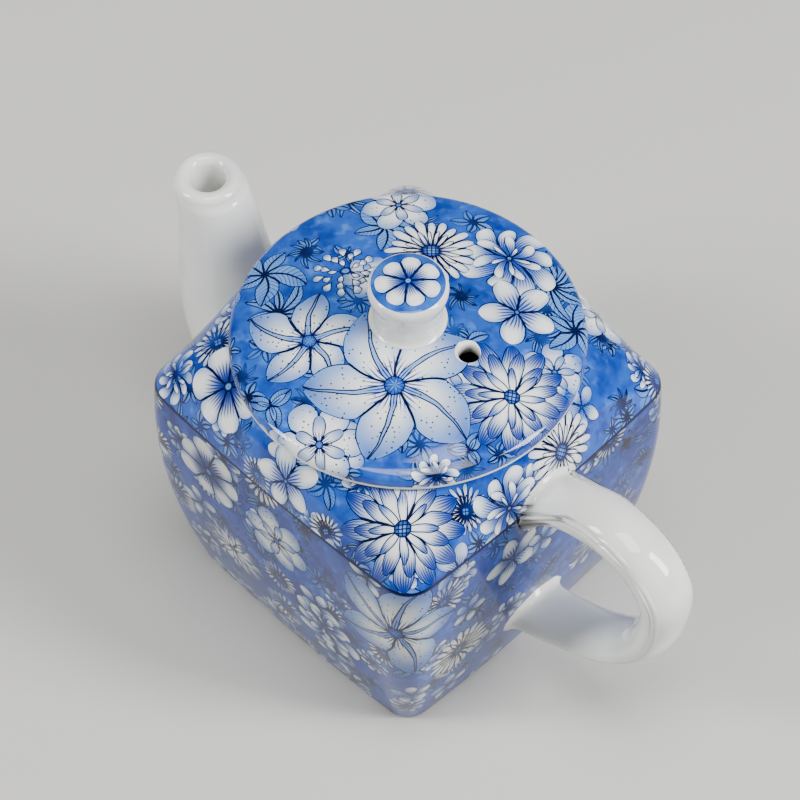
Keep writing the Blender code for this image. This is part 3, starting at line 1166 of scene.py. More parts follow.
@dataclass
class PotShell:
    """The square body: foot, swelling sides, pillow shoulder, neck and white lining in one skin."""

    axis_x: float
    seam_height: float = 64.0 * MM
    half_flat: float = 41.7 * MM
    half_diagonal: float = 54.8 * MM
    corner_radius: float = 7.0 * MM
    foot_share: float = 0.84
    belly_height: float = 52.0 * MM
    belly_swell: float = 1.01
    neck_radius: float = 37.0 * MM
    neck_height: float = 78.2 * MM
    mouth_radius: float = 31.5 * MM
    wall: float = 3.2 * MM
    shoulder_bulge: float = 1.5 * MM
    foot_round: float = 1.5 * MM
    foot_ring: float = 4.5 * MM
    foot_recess: float = 2.0 * MM
    outlet_radius: float = 8.0 * MM
    outlet_height: float = 27.0 * MM
    outlet_span: tuple[float, float] = (-30 * MM, -48 * MM)
    outlet_sides: int = 48
    first_bearing: float = math.radians(135)  # the print's join is on the corner behind the spout
    columns: int = 288
    side_steps: int = 44
    wall_steps: int = 16
    levels: list[Level] = field(default_factory=list)
    zones: list[Zone] = field(default_factory=list)

    def side_share(self, height: float) -> float:
        """The sides' plan size over the seam's: an arc that is widest at the belly."""
        fall = (self.belly_swell - self.foot_share) / self.belly_height**2
        return self.belly_swell - fall * (height - self.belly_height) ** 2

    def square(self, zone: Zone, height: float, inset: float, plan_height: float) -> None:
        """Adds a level of the square plan.

        Args:
            zone: Its finish.
            height: Where it lies.
            inset: How far it is moved in.
            plan_height: The height whose plan it has.
        """
        size = self.side_share(plan_height) - inset / self.half_flat
        self.levels.append(Level(size, low=height, high=height))
        self.zones.append(zone)

    def circle(self, zone: Zone, height: float, radius: float) -> None:
        """Adds a round level.

        Args:
            zone: Its finish.
            height: Where it lies.
            radius: Its radius.
        """
        self.levels.append(Level(round=radius, low=height, high=height, share=1.0))
        self.zones.append(zone)

    def pillow(
        self, zone: Zone, heights: tuple[float, float], inset: float, radius: float,
        shares: Iterable[float],
    ) -> None:
        """Adds levels from the square seam to a round neck that bulge like a pillow.

        Args:
            zone: Their finish.
            heights: The seam's and the neck's.
            inset: How far the square is moved in.
            radius: The neck's radius.
            shares: How far each level is from the square to the circle.
        """
        size = self.side_share(self.seam_height) - inset / self.half_flat
        for share in shares:
            swell = self.shoulder_bulge * math.sin(math.pi * share)
            self.levels.append(Level(size, radius, *heights, share, swell))
            self.zones.append(zone)

    def lay_out(self) -> None:
        """Lists the levels from under the foot, up the outside and down the lining."""
        foot_in = self.foot_round + self.foot_ring
        for zone, height, inset in (
            (Zone.UNDERSIDE, self.foot_recess, foot_in + 1.2 * MM),
            (Zone.UNDERSIDE, self.foot_recess * 0.9, foot_in + 0.6 * MM),
            (Zone.UNDERSIDE, self.foot_recess * 0.3, foot_in + 0.2 * MM),
            (Zone.FOOT, 0.0, foot_in - 0.3 * MM),
            (Zone.FOOT, 0.0, self.foot_round + 0.3 * MM),
            (Zone.FOOT, 0.05 * MM, self.foot_round * 0.8),
            (Zone.SIDE, self.foot_round * 0.3, self.foot_round * 0.3),
            (Zone.SIDE, self.foot_round * 0.7, self.foot_round * 0.06),
        ):
            self.square(zone, height, inset, self.foot_round)
        top = self.seam_height - 0.6 * MM
        for step in range(self.side_steps + 1):
            height = self.foot_round + (top - self.foot_round) * step / self.side_steps
            self.square(Zone.SIDE, height, 0.0, height)
        last = self.seam_height - 0.15 * MM
        self.square(Zone.SIDE, last, 0.05 * MM, last)
        shares = [0.012, 0.03, 0.06] + [0.06 + 0.9 * i / 20 for i in range(1, 20)] + [0.955, 0.985]
        heights = (self.seam_height, self.neck_height)
        self.pillow(Zone.SHOULDER, heights, 0.12 * MM, self.neck_radius, shares)
        rim = self.neck_radius - self.mouth_radius
        for drop, inset in (
            (0.06 * MM, 0.25 * MM),
            (0.0, 0.8 * MM),
            (0.0, rim - 1.0 * MM),
            (0.1 * MM, rim - 0.3 * MM),
            (0.6 * MM, rim),
        ):
            self.circle(Zone.LINING, self.neck_height - drop, self.neck_radius - inset)
        inner_low = self.seam_height - self.wall * 0.6
        heights = (inner_low, self.neck_height - self.wall)
        shares = [1 - i / 14 for i in range(15)]
        self.pillow(Zone.LINING, heights, self.wall, self.mouth_radius, shares)
        floor = self.foot_recess + self.wall
        for step in range(1, self.wall_steps + 1):
            height = inner_low + (floor + 4 * MM - inner_low) * step / self.wall_steps
            self.square(Zone.LINING, height, self.wall, height)
        for rise, inset in (
            (2.2 * MM, 0.5 * MM),
            (0.9 * MM, 1.8 * MM),
            (0.2 * MM, 3.6 * MM),
            (0.0, 5.6 * MM),
        ):
            self.square(Zone.LINING, floor + rise, self.wall + inset, floor + rise)

    def rule(self) -> Tree:
        """The rule of the pot's shape as geometry nodes.

        Returns:
            A tree that moves each point to its place from its bearing and its level's sizes.
        """
        sizes = tuple(self.rule_sizes())
        inputs = {"Geometry": "Geometry"} | dict.fromkeys(sizes, "Float") | {"Material": "Material"}
        outputs = {"Geometry": "Geometry"}
        tree, given = new_group("square_pot_rule", "GeometryNodeTree", inputs, outputs)
        centre, bow, corner_centre, corner, start, axis_x = (Signal(given[name]) for name in sizes)
        named = "GeometryNodeInputNamedAttribute"
        level = {
            name: Signal(add(tree, named, {"Name": name}, data_type="FLOAT").outputs[0])
            for name in ("bearing", *Level._fields)
        }
        cosine, sine = (level["bearing"].do(name) for name in ("COSINE", "SINE"))
        eighth = math.pi / 4
        turned = level["bearing"].do("WRAP", eighth, -eighth).do("ABSOLUTE")
        along = turned.do("COSINE") * centre
        side = along + (along * along - centre * centre + bow * bow).do("SQRT")
        ahead = corner_centre * (turned.do("COSINE") + turned.do("SINE"))
        within = ahead * ahead - corner_centre * corner_centre * 2.0 + corner * corner
        rounded = ahead + within.do("MAXIMUM", 0.0).do("SQRT")
        at_corner = turned.do("GREATER_THAN", start)
        plan = (rounded - side).do("MULTIPLY_ADD", at_corner, side) * level["size"]
        run = plan - level["round"]
        rise = level["high"] - level["low"]
        slope = (run * run + rise * rise).do("SQRT")
        radius = plan - run * level["share"] + level["swell"] * rise / slope
        height = level["low"] + rise * level["share"] + level["swell"] * run / slope
        where = {0: radius * cosine + axis_x, 1: radius * sine, 2: height}
        place = add(tree, "ShaderNodeCombineXYZ", where).outputs[0]
        move = {"Geometry": given["Geometry"], "Position": place}
        moved = add(tree, "GeometryNodeSetPosition", move)
        whole = add(tree, "GeometryNodeRealizeInstances", {"Geometry": moved.outputs[0]})
        dress = {"Geometry": whole.outputs[0], "Material": given["Material"]}
        dressed = add(tree, "GeometryNodeSetMaterial", dress)
        add(tree, "NodeGroupOutput", {0: dressed.outputs[0]})
        return tree

    def rule_sizes(self) -> dict[str, float]:
        """The rule's inputs: the arcs of a rounded square whose sides bow out.

        Returns:
            Each size by its input's name.
        """
        corner_centre = (self.half_diagonal - self.corner_radius) / math.sqrt(2)
        short = corner_centre - self.half_flat
        radius = self.corner_radius
        bow = (short**2 + corner_centre**2 - radius**2) / (-2 * radius - 2 * short)
        arc_centre = self.half_flat - bow
        tangent = math.atan2(corner_centre, corner_centre - arc_centre)
        meeting = (arc_centre + bow * math.cos(tangent), bow * math.sin(tangent))
        return {
            "Side arc centre": arc_centre,
            "Side arc radius": bow,
            "Corner centre": corner_centre,
            "Corner radius": radius,
            "Corner start": math.atan2(meeting[1], meeting[0]),
            "Axis X": self.axis_x,
        }

    def build(self, finishes: Sequence[Material]) -> Piece:
        """Makes the shell: its points from the levels, their places from the rule.

        Args:
            finishes: Underside glaze, bare foot, side print, shoulder print and lining glaze.

        Returns:
            The finished piece.
        """
        self.lay_out()
        angles = self.first_bearing + bearings(self.columns)
        count = len(self.levels)
        stack = np.zeros((count, self.columns, 3))
        stack[:, :, 0] = np.cos(angles)
        stack[:, :, 1] = np.sin(angles)
        stack[:, :, 2] = np.arange(count)[:, None]
        mesh = Shell(stack, (0.0, 0.0, -1.0), (0.0, 0.0, float(count))).raw_mesh("pot_shell")
        floors = (self.foot_recess, self.foot_recess + self.wall)
        poles = np.array([Level(low=z, high=z, share=1.0) for z in floors])
        per_point = np.concatenate([np.repeat(np.array(self.levels), self.columns, axis=0), poles])
        numbers = {"bearing": np.concatenate([np.tile(angles, count), [0.0, 0.0]])}
        numbers |= dict(zip(Level._fields, per_point.T))
        for name, values in numbers.items():
            attribute = mesh.attributes.new(name, "FLOAT", "POINT")
            attribute.data.foreach_set("value", values.astype(np.float32))
        piece = place_in_scene("pot_shell", mesh)
        modifier = piece.modifiers.new("rule", "NODES")
        modifier.node_group = self.rule()
        given = self.rule_sizes() | {"Material": finishes[Zone.UNDERSIDE]}
        for item in modifier.node_group.interface.items_tree:
            if item.in_out == "INPUT" and item.name in given:
                modifier[item.identifier] = given[item.name]
        mesh = make_plain(piece)
        for name in numbers:
            mesh.attributes.remove(mesh.attributes[name])
        self._lay_print(mesh)
        strips = [max(low, high) for low, high in zip(self.zones, self.zones[1:])]
        clad(mesh, finishes, [*strips, Zone.UNDERSIDE, Zone.LINING], self.columns)
        smooth_outward(mesh)
        return piece

    def pierce_outlet(self, shell: Piece) -> None:
        """Cuts the outlet through the wall behind the strainer.

        Args:
            shell: The finished shell, whose first finish is the lining's glaze.
        """
        angles = bearings(self.outlet_sides)
        rings = np.zeros((len(self.outlet_span), self.outlet_sides, 3))
        for i, reach in enumerate(self.outlet_span):
            rings[i, :, 0] = self.axis_x + reach
            rings[i, :, 1] = self.outlet_radius * np.cos(angles)
            rings[i, :, 2] = self.outlet_height + self.outlet_radius * np.sin(angles)
        ends = [(self.axis_x + reach, 0.0, self.outlet_height) for reach in self.outlet_span]
        cut_away(shell, Shell(rings, *ends), shell.data.materials[0])

    def _lay_print(self, mesh: Mesh) -> None:
        """Gives the outside its print map: round and down the sides, outward over the shoulder.

        Args:
            mesh: The shell's mesh, its points still in the order of the levels.
        """
        count, columns = len(self.levels), self.columns
        rings = vertex_places(mesh)[: count * columns].reshape(count, columns, 3)
        seam = self.zones.index(Zone.SHOULDER)
        neck = self.zones.index(Zone.LINING)
        loop = np.concatenate([rings[seam], rings[seam][:1]])
        lengths = np.linalg.norm(np.diff(loop, axis=0), axis=1)
        around = np.concatenate([[0.0], np.cumsum(lengths)])
        marks = self.first_bearing + math.tau * np.arange(columns + 1) / columns
        around -= np.interp(math.tau - FRONT_TURN, marks, around)
        down = np.zeros((count, columns))
        down[1:] = np.cumsum(np.linalg.norm(np.diff(rings, axis=0), axis=2), axis=0)
        depth = down - down[seam]
        outward = self.neck_radius + down[neck] - down
        bearing = np.arctan2(rings[:, :, 1], rings[:, :, 0] - self.axis_x) - FRONT_TURN
        on_top = (np.arange(count - 1) >= seam)[:, None]
        uv = np.zeros((count - 1, columns, 4, 2))
        for corner, (i, j) in enumerate(((0, 0), (0, 1), (1, 1), (1, 0))):
            rows = np.arange(count - 1)[:, None] + i
            cols = np.arange(columns)[None, :] + j
            here = (rows, cols % columns)
            polar = (outward[here] * np.cos(bearing[here]), outward[here] * np.sin(bearing[here]))
            unrolled = (np.broadcast_to(around[cols], (count - 1, columns)), depth[here])
            for axis in (0, 1):
                uv[:, :, corner, axis] = np.where(on_top, polar[axis], unrolled[axis])
        flat = np.zeros((len(mesh.loops), 2))
        flat[: uv.size // 2] = uv.reshape(-1, 2)
        lay_map(mesh, flat)


@dataclass
class Branch:
    """A tube or bar luted to the pot: its generators start in the wall and swell into a fillet."""

    skin: BVHTree
    depth: float = 1.6 * MM
    fillet: float = 2.6 * MM
    root_crowding: float = 0.85  # how much closer the rings of a bar lie at its roots
    tube_crowding: float = 1.5  # the power that draws a tube's rings to its root

    def gap(self, point: np.ndarray) -> tuple[float, Vector]:
        """How a point stands to the pot's skin.

        Args:
            point: The point.

        Returns:
            How far off it is, negative inside, and the skin's normal there.
        """
        near, normal, _, _ = self.skin.find_nearest(Vector(point))
        away = Vector(point) - near
        return (away.length if away.dot(normal) > 0 else -away.length), normal

    def trim(self, rings: np.ndarray, both_ends: bool) -> np.ndarray:
        """Starts each generator where it lies at the luting depth, and crowds rings at the roots.

        Args:
            rings: Rings of points from the root outward.
            both_ends: Whether the far end meets the pot too.

        Returns:
            Rings of the same shape.
        """
        count, sides = rings.shape[:2]
        out = np.zeros_like(rings)
        numbers = np.arange(count)
        middle = count // 2
        share = np.linspace(0, 1, count)
        eased = share**self.tube_crowding
        if both_ends:
            eased = share - np.sin(math.tau * share) * self.root_crowding / math.tau
        for j in range(sides):
            gaps = np.array([self.gap(p)[0] for p in rings[:, j]])
            first = self._crossing(gaps, range(middle, 0, -1))
            last = self._crossing(gaps, range(middle, count - 1)) if both_ends else count - 1.0
            wanted = first + (last - first) * eased
            for axis in range(3):
                out[:, j, axis] = np.interp(wanted, numbers, rings[:, j, axis])
        return out

    def _crossing(self, gaps: np.ndarray, order: range) -> float:
        """Finds where a generator sinks to the luting depth.

        Args:
            gaps: How far each of its points stands off the skin.
            order: The numbers of the points in the order that they are met.

        Returns:
            The number of the point there, with its fraction.
        """
        for i in order:
            other = i + order.step
            if gaps[other] <= -self.depth < gaps[i]:
                share = (gaps[i] + self.depth) / (gaps[i] - gaps[other])
                return i + share * (other - i)
        return float(order[-1] + order.step)

    def swell(self, rings: np.ndarray) -> np.ndarray:
        """Moves points near the skin outward along it, in a hollow quarter round.

        Args:
            rings: Rings of points.

        Returns:
            Rings of the same shape.
        """
        out = rings.copy()
        centres = rings.mean(axis=1)
        for i, ring in enumerate(rings):
            for j, point in enumerate(ring):
                off, normal = self.gap(point)
                if off >= self.fillet:
                    continue
                rest = self.fillet - max(off, 0.0)
                push = self.fillet - math.sqrt(self.fillet**2 - rest**2)
                away = Vector(point - centres[i])
                away -= normal * away.dot(normal)
                out[i, j] += np.array(away.normalized()) * push
        return out


def swept_rings(
    path: np.ndarray, axis_x: float, sides: int, width: float, upright_from: float
) -> np.ndarray:
    """Oval rings across a path in the XZ plane.

    Args:
        path: Rows of x from the pot's axis, z and the ring's size in the plane of the path.
        axis_x: Where the pot's axis stands.
        sides: Points in a ring.
        width: The ring's size across the plane over its size in the plane.
        upright_from: The share of the path from which the rings turn level, over 1 for never.

    Returns:
        Rings of points.
    """
    tangent = np.gradient(path[:, :2], axis=0)
    tangent /= np.linalg.norm(tangent, axis=1)[:, None]
    share = np.linspace(0, 1, len(path)) - upright_from
    share = np.clip(share / max(1e-6, 1 - upright_from), 0, 1)
    level = (share * share * (3 - 2 * share))[:, None]
    tangent = tangent * (1 - level) + np.array([0.0, 1.0]) * level
    tangent /= np.linalg.norm(tangent, axis=1)[:, None]
    angles = bearings(sides)
    rings = np.zeros((len(path), sides, 3))
    rings[:, :, 0] = path[:, :1] + axis_x + path[:, 2:3] * np.cos(angles) * tangent[:, 1:]
    rings[:, :, 2] = path[:, 1:2] - path[:, 2:3] * np.cos(angles) * tangent[:, :1]
    rings[:, :, 1] = path[:, 2:3] * width * np.sin(angles)
    return rings


@dataclass
class Spout:
    """The S-curved spout: fat at its root, with a thick rounded lip and a level mouth."""

    axis_x: float
    reach: float
    mouth_height: float
    lip_radius: float = 7.75 * MM
    bore_radius: float = 3.9 * MM
    root_bore: float = 8.0 * MM
    bore_taper: float = 0.8
    upright_from: float = 0.72
    sides: int = 96
    steps: int = 12
    lip_steps: int = 12

    def stations(self) -> list[tuple[float, float, float]]:
        """Lists the tube's course in millimetres and turns it to metres.

        Returns:
            The middle's x from the pot's axis and height, and the radius, from wall to mouth.
        """
        course = (
            (-34, 24.5, 13.9),
            (-40, 26.4, 13.7),
            (-47, 30.5, 13.2),
            (-52.6, 37, 12.6),
            (-55.4, 44, 12.0),
            (-57.8, 57, 10.5),
            (-59.4, 70, 8.9),
        )
        mouth = (-(self.reach - self.lip_radius), self.mouth_height, self.lip_radius)
        return [(x * MM, z * MM, radius * MM) for x, z, radius in course] + [mouth]

    def tube(self, path: np.ndarray, branch: Branch, drop: float) -> np.ndarray:
        """Sweeps a tube along the spout and trims it at the wall.

        Args:
            path: The middle's course and the radius.
            branch: How the spout meets the pot.
            drop: How far below the mouth the tube ends.

        Returns:
            Rings from the root outward.
        """
        rings = swept_rings(path, self.axis_x, self.sides, 1.0, self.upright_from)
        rings = rings[rings[:, 0, 2] < self.mouth_height - drop]
        return branch.trim(rings, both_ends=False)

    def build(self, skin: BVHTree, finish: Material) -> Piece:
        """Makes the spout as one closed skin, outside, lip and bore.

        Args:
            skin: The pot's surface.
            finish: Its glaze.

        Returns:
            The finished piece.
        """
        path = smooth_path(self.stations(), self.steps)
        lip = (self.lip_radius - self.bore_radius) / 2
        branch = Branch(skin)
        outer = branch.swell(self.tube(path, branch, lip))
        turns = [math.pi * step / self.lip_steps for step in range(self.lip_steps + 1)]
        ring_radius, ring_height = self.bore_radius + lip, self.mouth_height - lip
        curve = [(ring_radius + lip * math.cos(t), ring_height + lip * math.sin(t)) for t in turns]
        middle = self.axis_x - (self.reach - self.lip_radius)
        rounded = turned_rings((middle, 0.0), curve, self.sides)
        share = np.linspace(0, 1, len(path))
        bore_path = path.copy()
        taper = (self.bore_radius - self.root_bore) * share**self.bore_taper
        bore_path[:, 2] = self.root_bore + taper
        bore = self.tube(bore_path, branch, 2 * lip)
        rings = np.concatenate([outer, rounded, bore[::-1]])
        piece = place_in_scene("spout_white", Shell(rings, joined=True).mesh("spout_white"))
        piece.data.materials.append(finish)
        return piece


@dataclass
class Handle:
    """The ear-shaped handle, a bar of oval section."""

    axis_x: float
    reach: float
    half_thickness: float = 4.4 * MM
    half_width: float = 6.6 * MM
    fillet: float = 2.2 * MM
    sides: int = 72
    steps: int = 10

    def stations(self) -> list[tuple[float, float, float]]:
        """Lists the bar's course in millimetres and turns it to metres.

        Returns:
            The middle's x from the pot's axis and height, and the half thickness, from the upper
            root to the lower.
        """
        back = self.reach - self.half_thickness
        course = (
            (37 * MM, 59, 1.08),
            (40 * MM, 61.5, 1.05),
            (47 * MM, 67, 1.0),
            (58 * MM, 72, 1.0),
            (69 * MM, 70.5, 1.0),
            (back - 1 * MM, 64, 1.0),
            (back, 56, 1.0),
            (73 * MM, 43.5, 1.0),
            (63 * MM, 31, 1.0),
            (49 * MM, 22.5, 1.02),
            (40 * MM, 19, 1.08),
            (35 * MM, 17.6, 1.12),
        )
        return [(x, z * MM, size * self.half_thickness) for x, z, size in course]

    def build(self, skin: BVHTree, finish: Material) -> Piece:
        """Makes the handle, trimmed to the wall at both roots.

        Args:
            skin: The pot's surface.
            finish: Its glaze.

        Returns:
            The finished piece.
        """
        path = smooth_path(self.stations(), self.steps)
        ovalness = self.half_width / self.half_thickness
        rings = swept_rings(path, self.axis_x, self.sides, ovalness, upright_from=2.0)
        branch = Branch(skin, fillet=self.fillet)
        rings = branch.swell(branch.trim(rings, both_ends=True))
        ends = [tuple(rings[i].mean(axis=0)) for i in (0, -1)]
        piece = place_in_scene("handle_white", Shell(rings, *ends).mesh("handle_white"))
        piece.data.materials.append(finish)
        return piece


@dataclass
class Turned:
    """A piece turned round the pot's axis, its finish changing along the profile."""

    name: str
    axis_x: float
    profile: list[tuple[float, float, int]]
    sides: int = 192

    def build(self, finishes: Sequence[Material]) -> Piece:
        """Turns the profile, which starts and ends on the axis.

        Args:
            finishes: The materials that the profile's numbers name.

        Returns:
            The finished piece with its print map.
        """
        inner = self.profile[1:-1]
        section = [(radius, height) for radius, height, _ in inner]
        rings = turned_rings((self.axis_x, 0.0), section, self.sides)
        poles = [(self.axis_x, 0.0, self.profile[end][1]) for end in (0, -1)]
        mesh = Shell(rings, *poles).mesh(self.name)
        self._lay_print(mesh)
        strips = [max(low[2], high[2]) for low, high in zip(inner, inner[1:])]
        fans = [self.profile[0][2], self.profile[-1][2]]
        clad(mesh, finishes, strips + fans, self.sides)
        return place_in_scene(self.name, mesh)

    def _lay_print(self, mesh: Mesh) -> None:
        """Gives the piece its print map: the way out from the axis along the surface.

        Args:
            mesh: The turned mesh.
        """
        out = np.array([(radius, height) for radius, height, _ in self.profile])
        lengths = np.linalg.norm(np.diff(out, axis=0), axis=1)
        walked = np.concatenate([[0.0], np.cumsum(lengths)])
        reach = np.concatenate([np.repeat(walked[1:-1], self.sides), [0.0, walked[-1]]])
        points = vertex_places(mesh)
        angle = np.arctan2(points[:, 1], points[:, 0] - self.axis_x) - FRONT_TURN
        flat = np.stack([reach * np.cos(angle), reach * np.sin(angle)], axis=1)
        corners = np.zeros(len(mesh.loops), np.int32)
        mesh.loops.foreach_get("vertex_index", corners)
        lay_map(mesh, flat[corners])


@dataclass
class Lid:
    """The shallow domed lid with its rounded rim, locating flange and vent hole."""

    axis_x: float
    radius: float
    underside: float
    flange_bottom: float
    apex: float = 87.8 * MM
    dome_edge: float = 35.0 * MM
    dome_edge_height: float = 82.9 * MM
    rim_height: float = 80.4 * MM
    rim_slope: float = 68.0  # degrees at which the dome runs into the rim
    rim_underside: float = 0.9 * MM
    print_edge: float = 1.35 * MM
    flange_radius: float = 30.2 * MM
    flange_wall: float = 2.8 * MM
    wall: float = 3.2 * MM
    vent_radius: float = 2.35 * MM
    vent_flare: float = 0.7 * MM
    vent_offset: float = 15.5 * MM
    vent_bearing: float = math.radians(11)
    vent_sides: int = 40

    def dome(self, radius: float) -> float:
        """The top surface's height, part of a large sphere.

        Args:
            radius: How far from the axis.

        Returns:
            The height.
        """
        fall = self.apex - self.dome_edge_height
        sphere = (self.dome_edge**2 + fall**2) / (2 * fall)
        return self.apex - sphere + math.sqrt(sphere**2 - radius**2)

    def profile(self) -> list[tuple[float, float, int]]:
        """The section from the apex out over the rim and back under.

        Returns:
            Radius, height and finish, 0 for the print and 1 for the white glaze.
        """
        steps, rim_steps, corner_steps, under_steps = 40, 8, 4, 16
        radii = [self.dome_edge * i / steps for i in range(steps + 1)]
        points = [(radius, self.dome(radius), 0) for radius in radii]
        rise = self.dome_edge_height - self.rim_height
        for step in range(1, rim_steps + 1):
            turn = math.radians(self.rim_slope * (1 - step / rim_steps))
            reach = self.dome_edge + (self.radius - self.dome_edge) * math.cos(turn) ** 0.9
            points.append((reach, self.rim_height + rise * math.sin(turn), 0))
        base = self.underside
        points.append((self.radius, base + self.print_edge, 0))
        points.append((self.radius, base + self.print_edge - 0.05 * MM, 1))
        corner = self.rim_underside
        for step in range(corner_steps + 1):
            turn = math.radians(90 * step / corner_steps)
            reach = self.radius - corner * (1 - math.cos(turn))
            points.append((reach, base + corner * (1 - math.sin(turn)), 1))
        flange, foot = self.flange_radius, self.flange_bottom
        inside = flange - self.flange_wall
        points += [
            (flange + 0.6 * MM, base, 1),
            (flange + 0.1 * MM, base - 0.3 * MM, 1),
            (flange, base - 1.2 * MM, 1),
            (flange, foot + 1.0 * MM, 1),
            (flange - 0.3 * MM, foot + 0.3 * MM, 1),
            (flange - 1.0 * MM, foot, 1),
            (inside + 0.9 * MM, foot, 1),
            (inside + 0.2 * MM, foot + 0.3 * MM, 1),
            (inside, foot + 1.0 * MM, 1),
        ]
        radii = [inside * i / under_steps for i in range(under_steps, -1, -1)]
        return points + [(radius, self.dome(radius) - self.wall, 1) for radius in radii]

    def build(self, finishes: Sequence[Material]) -> Piece:
        """Turns the lid and pierces its vent with a soft edge.

        Args:
            finishes: The print and the white glaze.

        Returns:
            The finished piece.
        """
        lid = Turned("lid_shell", self.axis_x, self.profile()).build(finishes)
        top = self.dome(self.vent_offset)
        flare, steps = self.vent_flare, 6
        section = [(self.vent_radius, top - 12 * MM)]
        for step in range(steps + 1):
            turn = math.radians(90 * step / steps)
            radius = self.vent_radius + flare * (1 - math.cos(turn))
            section.append((radius, top - flare + flare * math.sin(turn)))
        section.append((self.vent_radius + 1.6 * flare, top + 3 * MM))
        x = self.axis_x + self.vent_offset * math.cos(self.vent_bearing)
        y = self.vent_offset * math.sin(self.vent_bearing)
        rings = turned_rings((x, y), section, self.vent_sides)
        ends = [(x, y, section[i][1]) for i in (0, -1)]
        cut_away(lid, Shell(rings, *ends), finishes[1])
        return lid


@dataclass
class Knob:
    """The waisted button on the lid, white with a printed disc on top."""

    axis_x: float
    bottom: float
    top: float
    foot_radius: float = 7.7 * MM
    waist_radius: float = 7.2 * MM
    rim_radius: float = 8.65 * MM
    disc_radius: float = 7.9 * MM
    crown: float = 0.075  # how far the disc falls to its edge, over the knob's height
    sides: int = 128

    def build(self, finishes: Sequence[Material]) -> Piece:
        """Turns the knob.

        Args:
            finishes: The disc's print and the white glaze.

        Returns:
            The finished piece.
        """
        rise = self.top - self.bottom
        disc, rim = self.disc_radius, self.rim_radius
        waist, foot = self.waist_radius, self.foot_radius
        steps = 14
        sag = self.crown * rise
        points = [
            (disc * i / steps, self.top - sag * (i / steps) ** 2, 0) for i in range(steps + 1)
        ]
        outline = (
            (disc, 0.925),
            (rim - 0.15 * MM, 0.87),
            (rim, 0.76),
            (rim - 0.45 * MM, 0.6),
            (waist + 0.35 * MM, 0.42),
            (waist, 0.28),
            (waist + 0.2 * MM, 0.14),
            (foot, 0.03),
            (foot + 0.7 * MM, -0.02),
        )
        side = smooth_path(outline, 5)[1:]
        points += [(radius, self.bottom + rise * share, 1) for radius, share in side]
        sunk = self.bottom - 0.02 * rise
        points += [(foot * 0.5, sunk, 1), (0.0, sunk, 1)]
        return Turned("knob_button", self.axis_x, points, self.sides).build(finishes)


# The print's layout


LID_BLOOMS = (
    Bloom(Kind.FERN, -28, 3, 11, 20),
    Bloom(Kind.LEAVES, -31, 15, 11, 70),
    Bloom(Kind.LEAVES, -5, 27, 10, 0),
    Bloom(Kind.LEAVES, 36, 0, 10, 40),
    Bloom(Kind.FERN, 31, 12, 11, 60),
    Bloom(Kind.PEONY, 22, 18, 12, 10),
    Bloom(Kind.SPOTTED, -2, 34, 9, 50),
    Bloom(Kind.ASTER, 5, 19, 10, 0),
    Bloom(Kind.BERRIES, -13.4, 13.3, 7.5, 0),
    Bloom(Kind.BLOSSOM, 23.4, 3, 9, 100),
    Bloom(Kind.SPOTTED, -18.7, -30, 10.5, 0),
    Bloom(Kind.BUD, -29, -20, 7, 200),
    Bloom(Kind.BUD, -1.3, -28.5, 5, 90),
    Bloom(Kind.BUD, 12.7, -31.6, 6, 60),
    Bloom(Kind.PEONY, 6, -38, 6, 0),
    Bloom(Kind.LILY, -21, -5, 15, 42),
    Bloom(Kind.DAHLIA, 22, -18.6, 14, 0),
    Bloom(Kind.LILY, -3, -17, 21, 15),
)

SHOULDER_BLOOMS = (
    Bloom(Kind.PEONY, 24, -41, 11, 0),
    Bloom(Kind.BLOSSOM, -28, -34, 9, 0),
    Bloom(Kind.DAHLIA, -1, -46, 14.5, 0),
    Bloom(Kind.ASTER, 35, -26, 10, 0),
    Bloom(Kind.PANSY, -39, -10, 11, 0),
    Bloom(Kind.LILY, 0, 47, 14, 0),
    Bloom(Kind.SPOTTED, 43, 12, 10, 0),
    Bloom(Kind.DAHLIA, 28, 36, 11, 0),
)

SIDE_BLOOMS = (
    Bloom(Kind.DAHLIA, -54, -38, 12, 0),
    Bloom(Kind.PEONY, -24, -38, 11, 30),
    Bloom(Kind.SPOTTED, -37, -15, 10, 10),
    Bloom(Kind.PANSY, -58, -11, 10, 0),
    Bloom(Kind.BLOSSOM, 29, -13, 8, 40),
    Bloom(Kind.LILY, -3, -15, 18, 50),
    Bloom(Kind.ASTER, 14, -36, 9, 0),
    Bloom(Kind.DAHLIA, 60, -36, 12, 0),
    Bloom(Kind.LILY, 106, -24, 17, 0),
    Bloom(Kind.DAHLIA, 138, -34, 13, 0),
    Bloom(Kind.PEONY, 126, -12, 10, 0),
    Bloom(Kind.LILY, -104, -22, 16, 20),
    Bloom(Kind.SPOTTED, -138, -38, 11, 0),
)

KNOB_BLOOMS = (Bloom(Kind.PANSY, 0, 0, 7.2, 20),)


SIDE_FILLER = (
    Scatter(Kind.LEAVES, 19.0, 0.3),
    Scatter(Kind.LEAVES, 15.0, 1.1),
    Scatter(Kind.FERN, 17.0, 1.9),
    Scatter(Kind.PEONY, 18.0, 2.1, 0.4),
    Scatter(Kind.ASTER, 17.0, 1.7, 0.6),
    Scatter(Kind.BLOSSOM, 16.0, 2.6, 0.6),
)

LID_FILLER = (
    Scatter(Kind.LEAVES, 19.0, 2.0),
    Scatter(Kind.FERN, 18.0, 1.1),
    Scatter(Kind.LEAVES, 15.0, 0.3),
    Scatter(Kind.SPOTTED, 21.0, 1.5, 0.5),
)


# The studio


@dataclass(frozen=True)
class SoftBox:
    """One rectangular light: degrees round from the front and up, metres and watts."""

    name: str
    azimuth: float
    elevation: float
    distance: float
    size: tuple[float, float]
    power: float


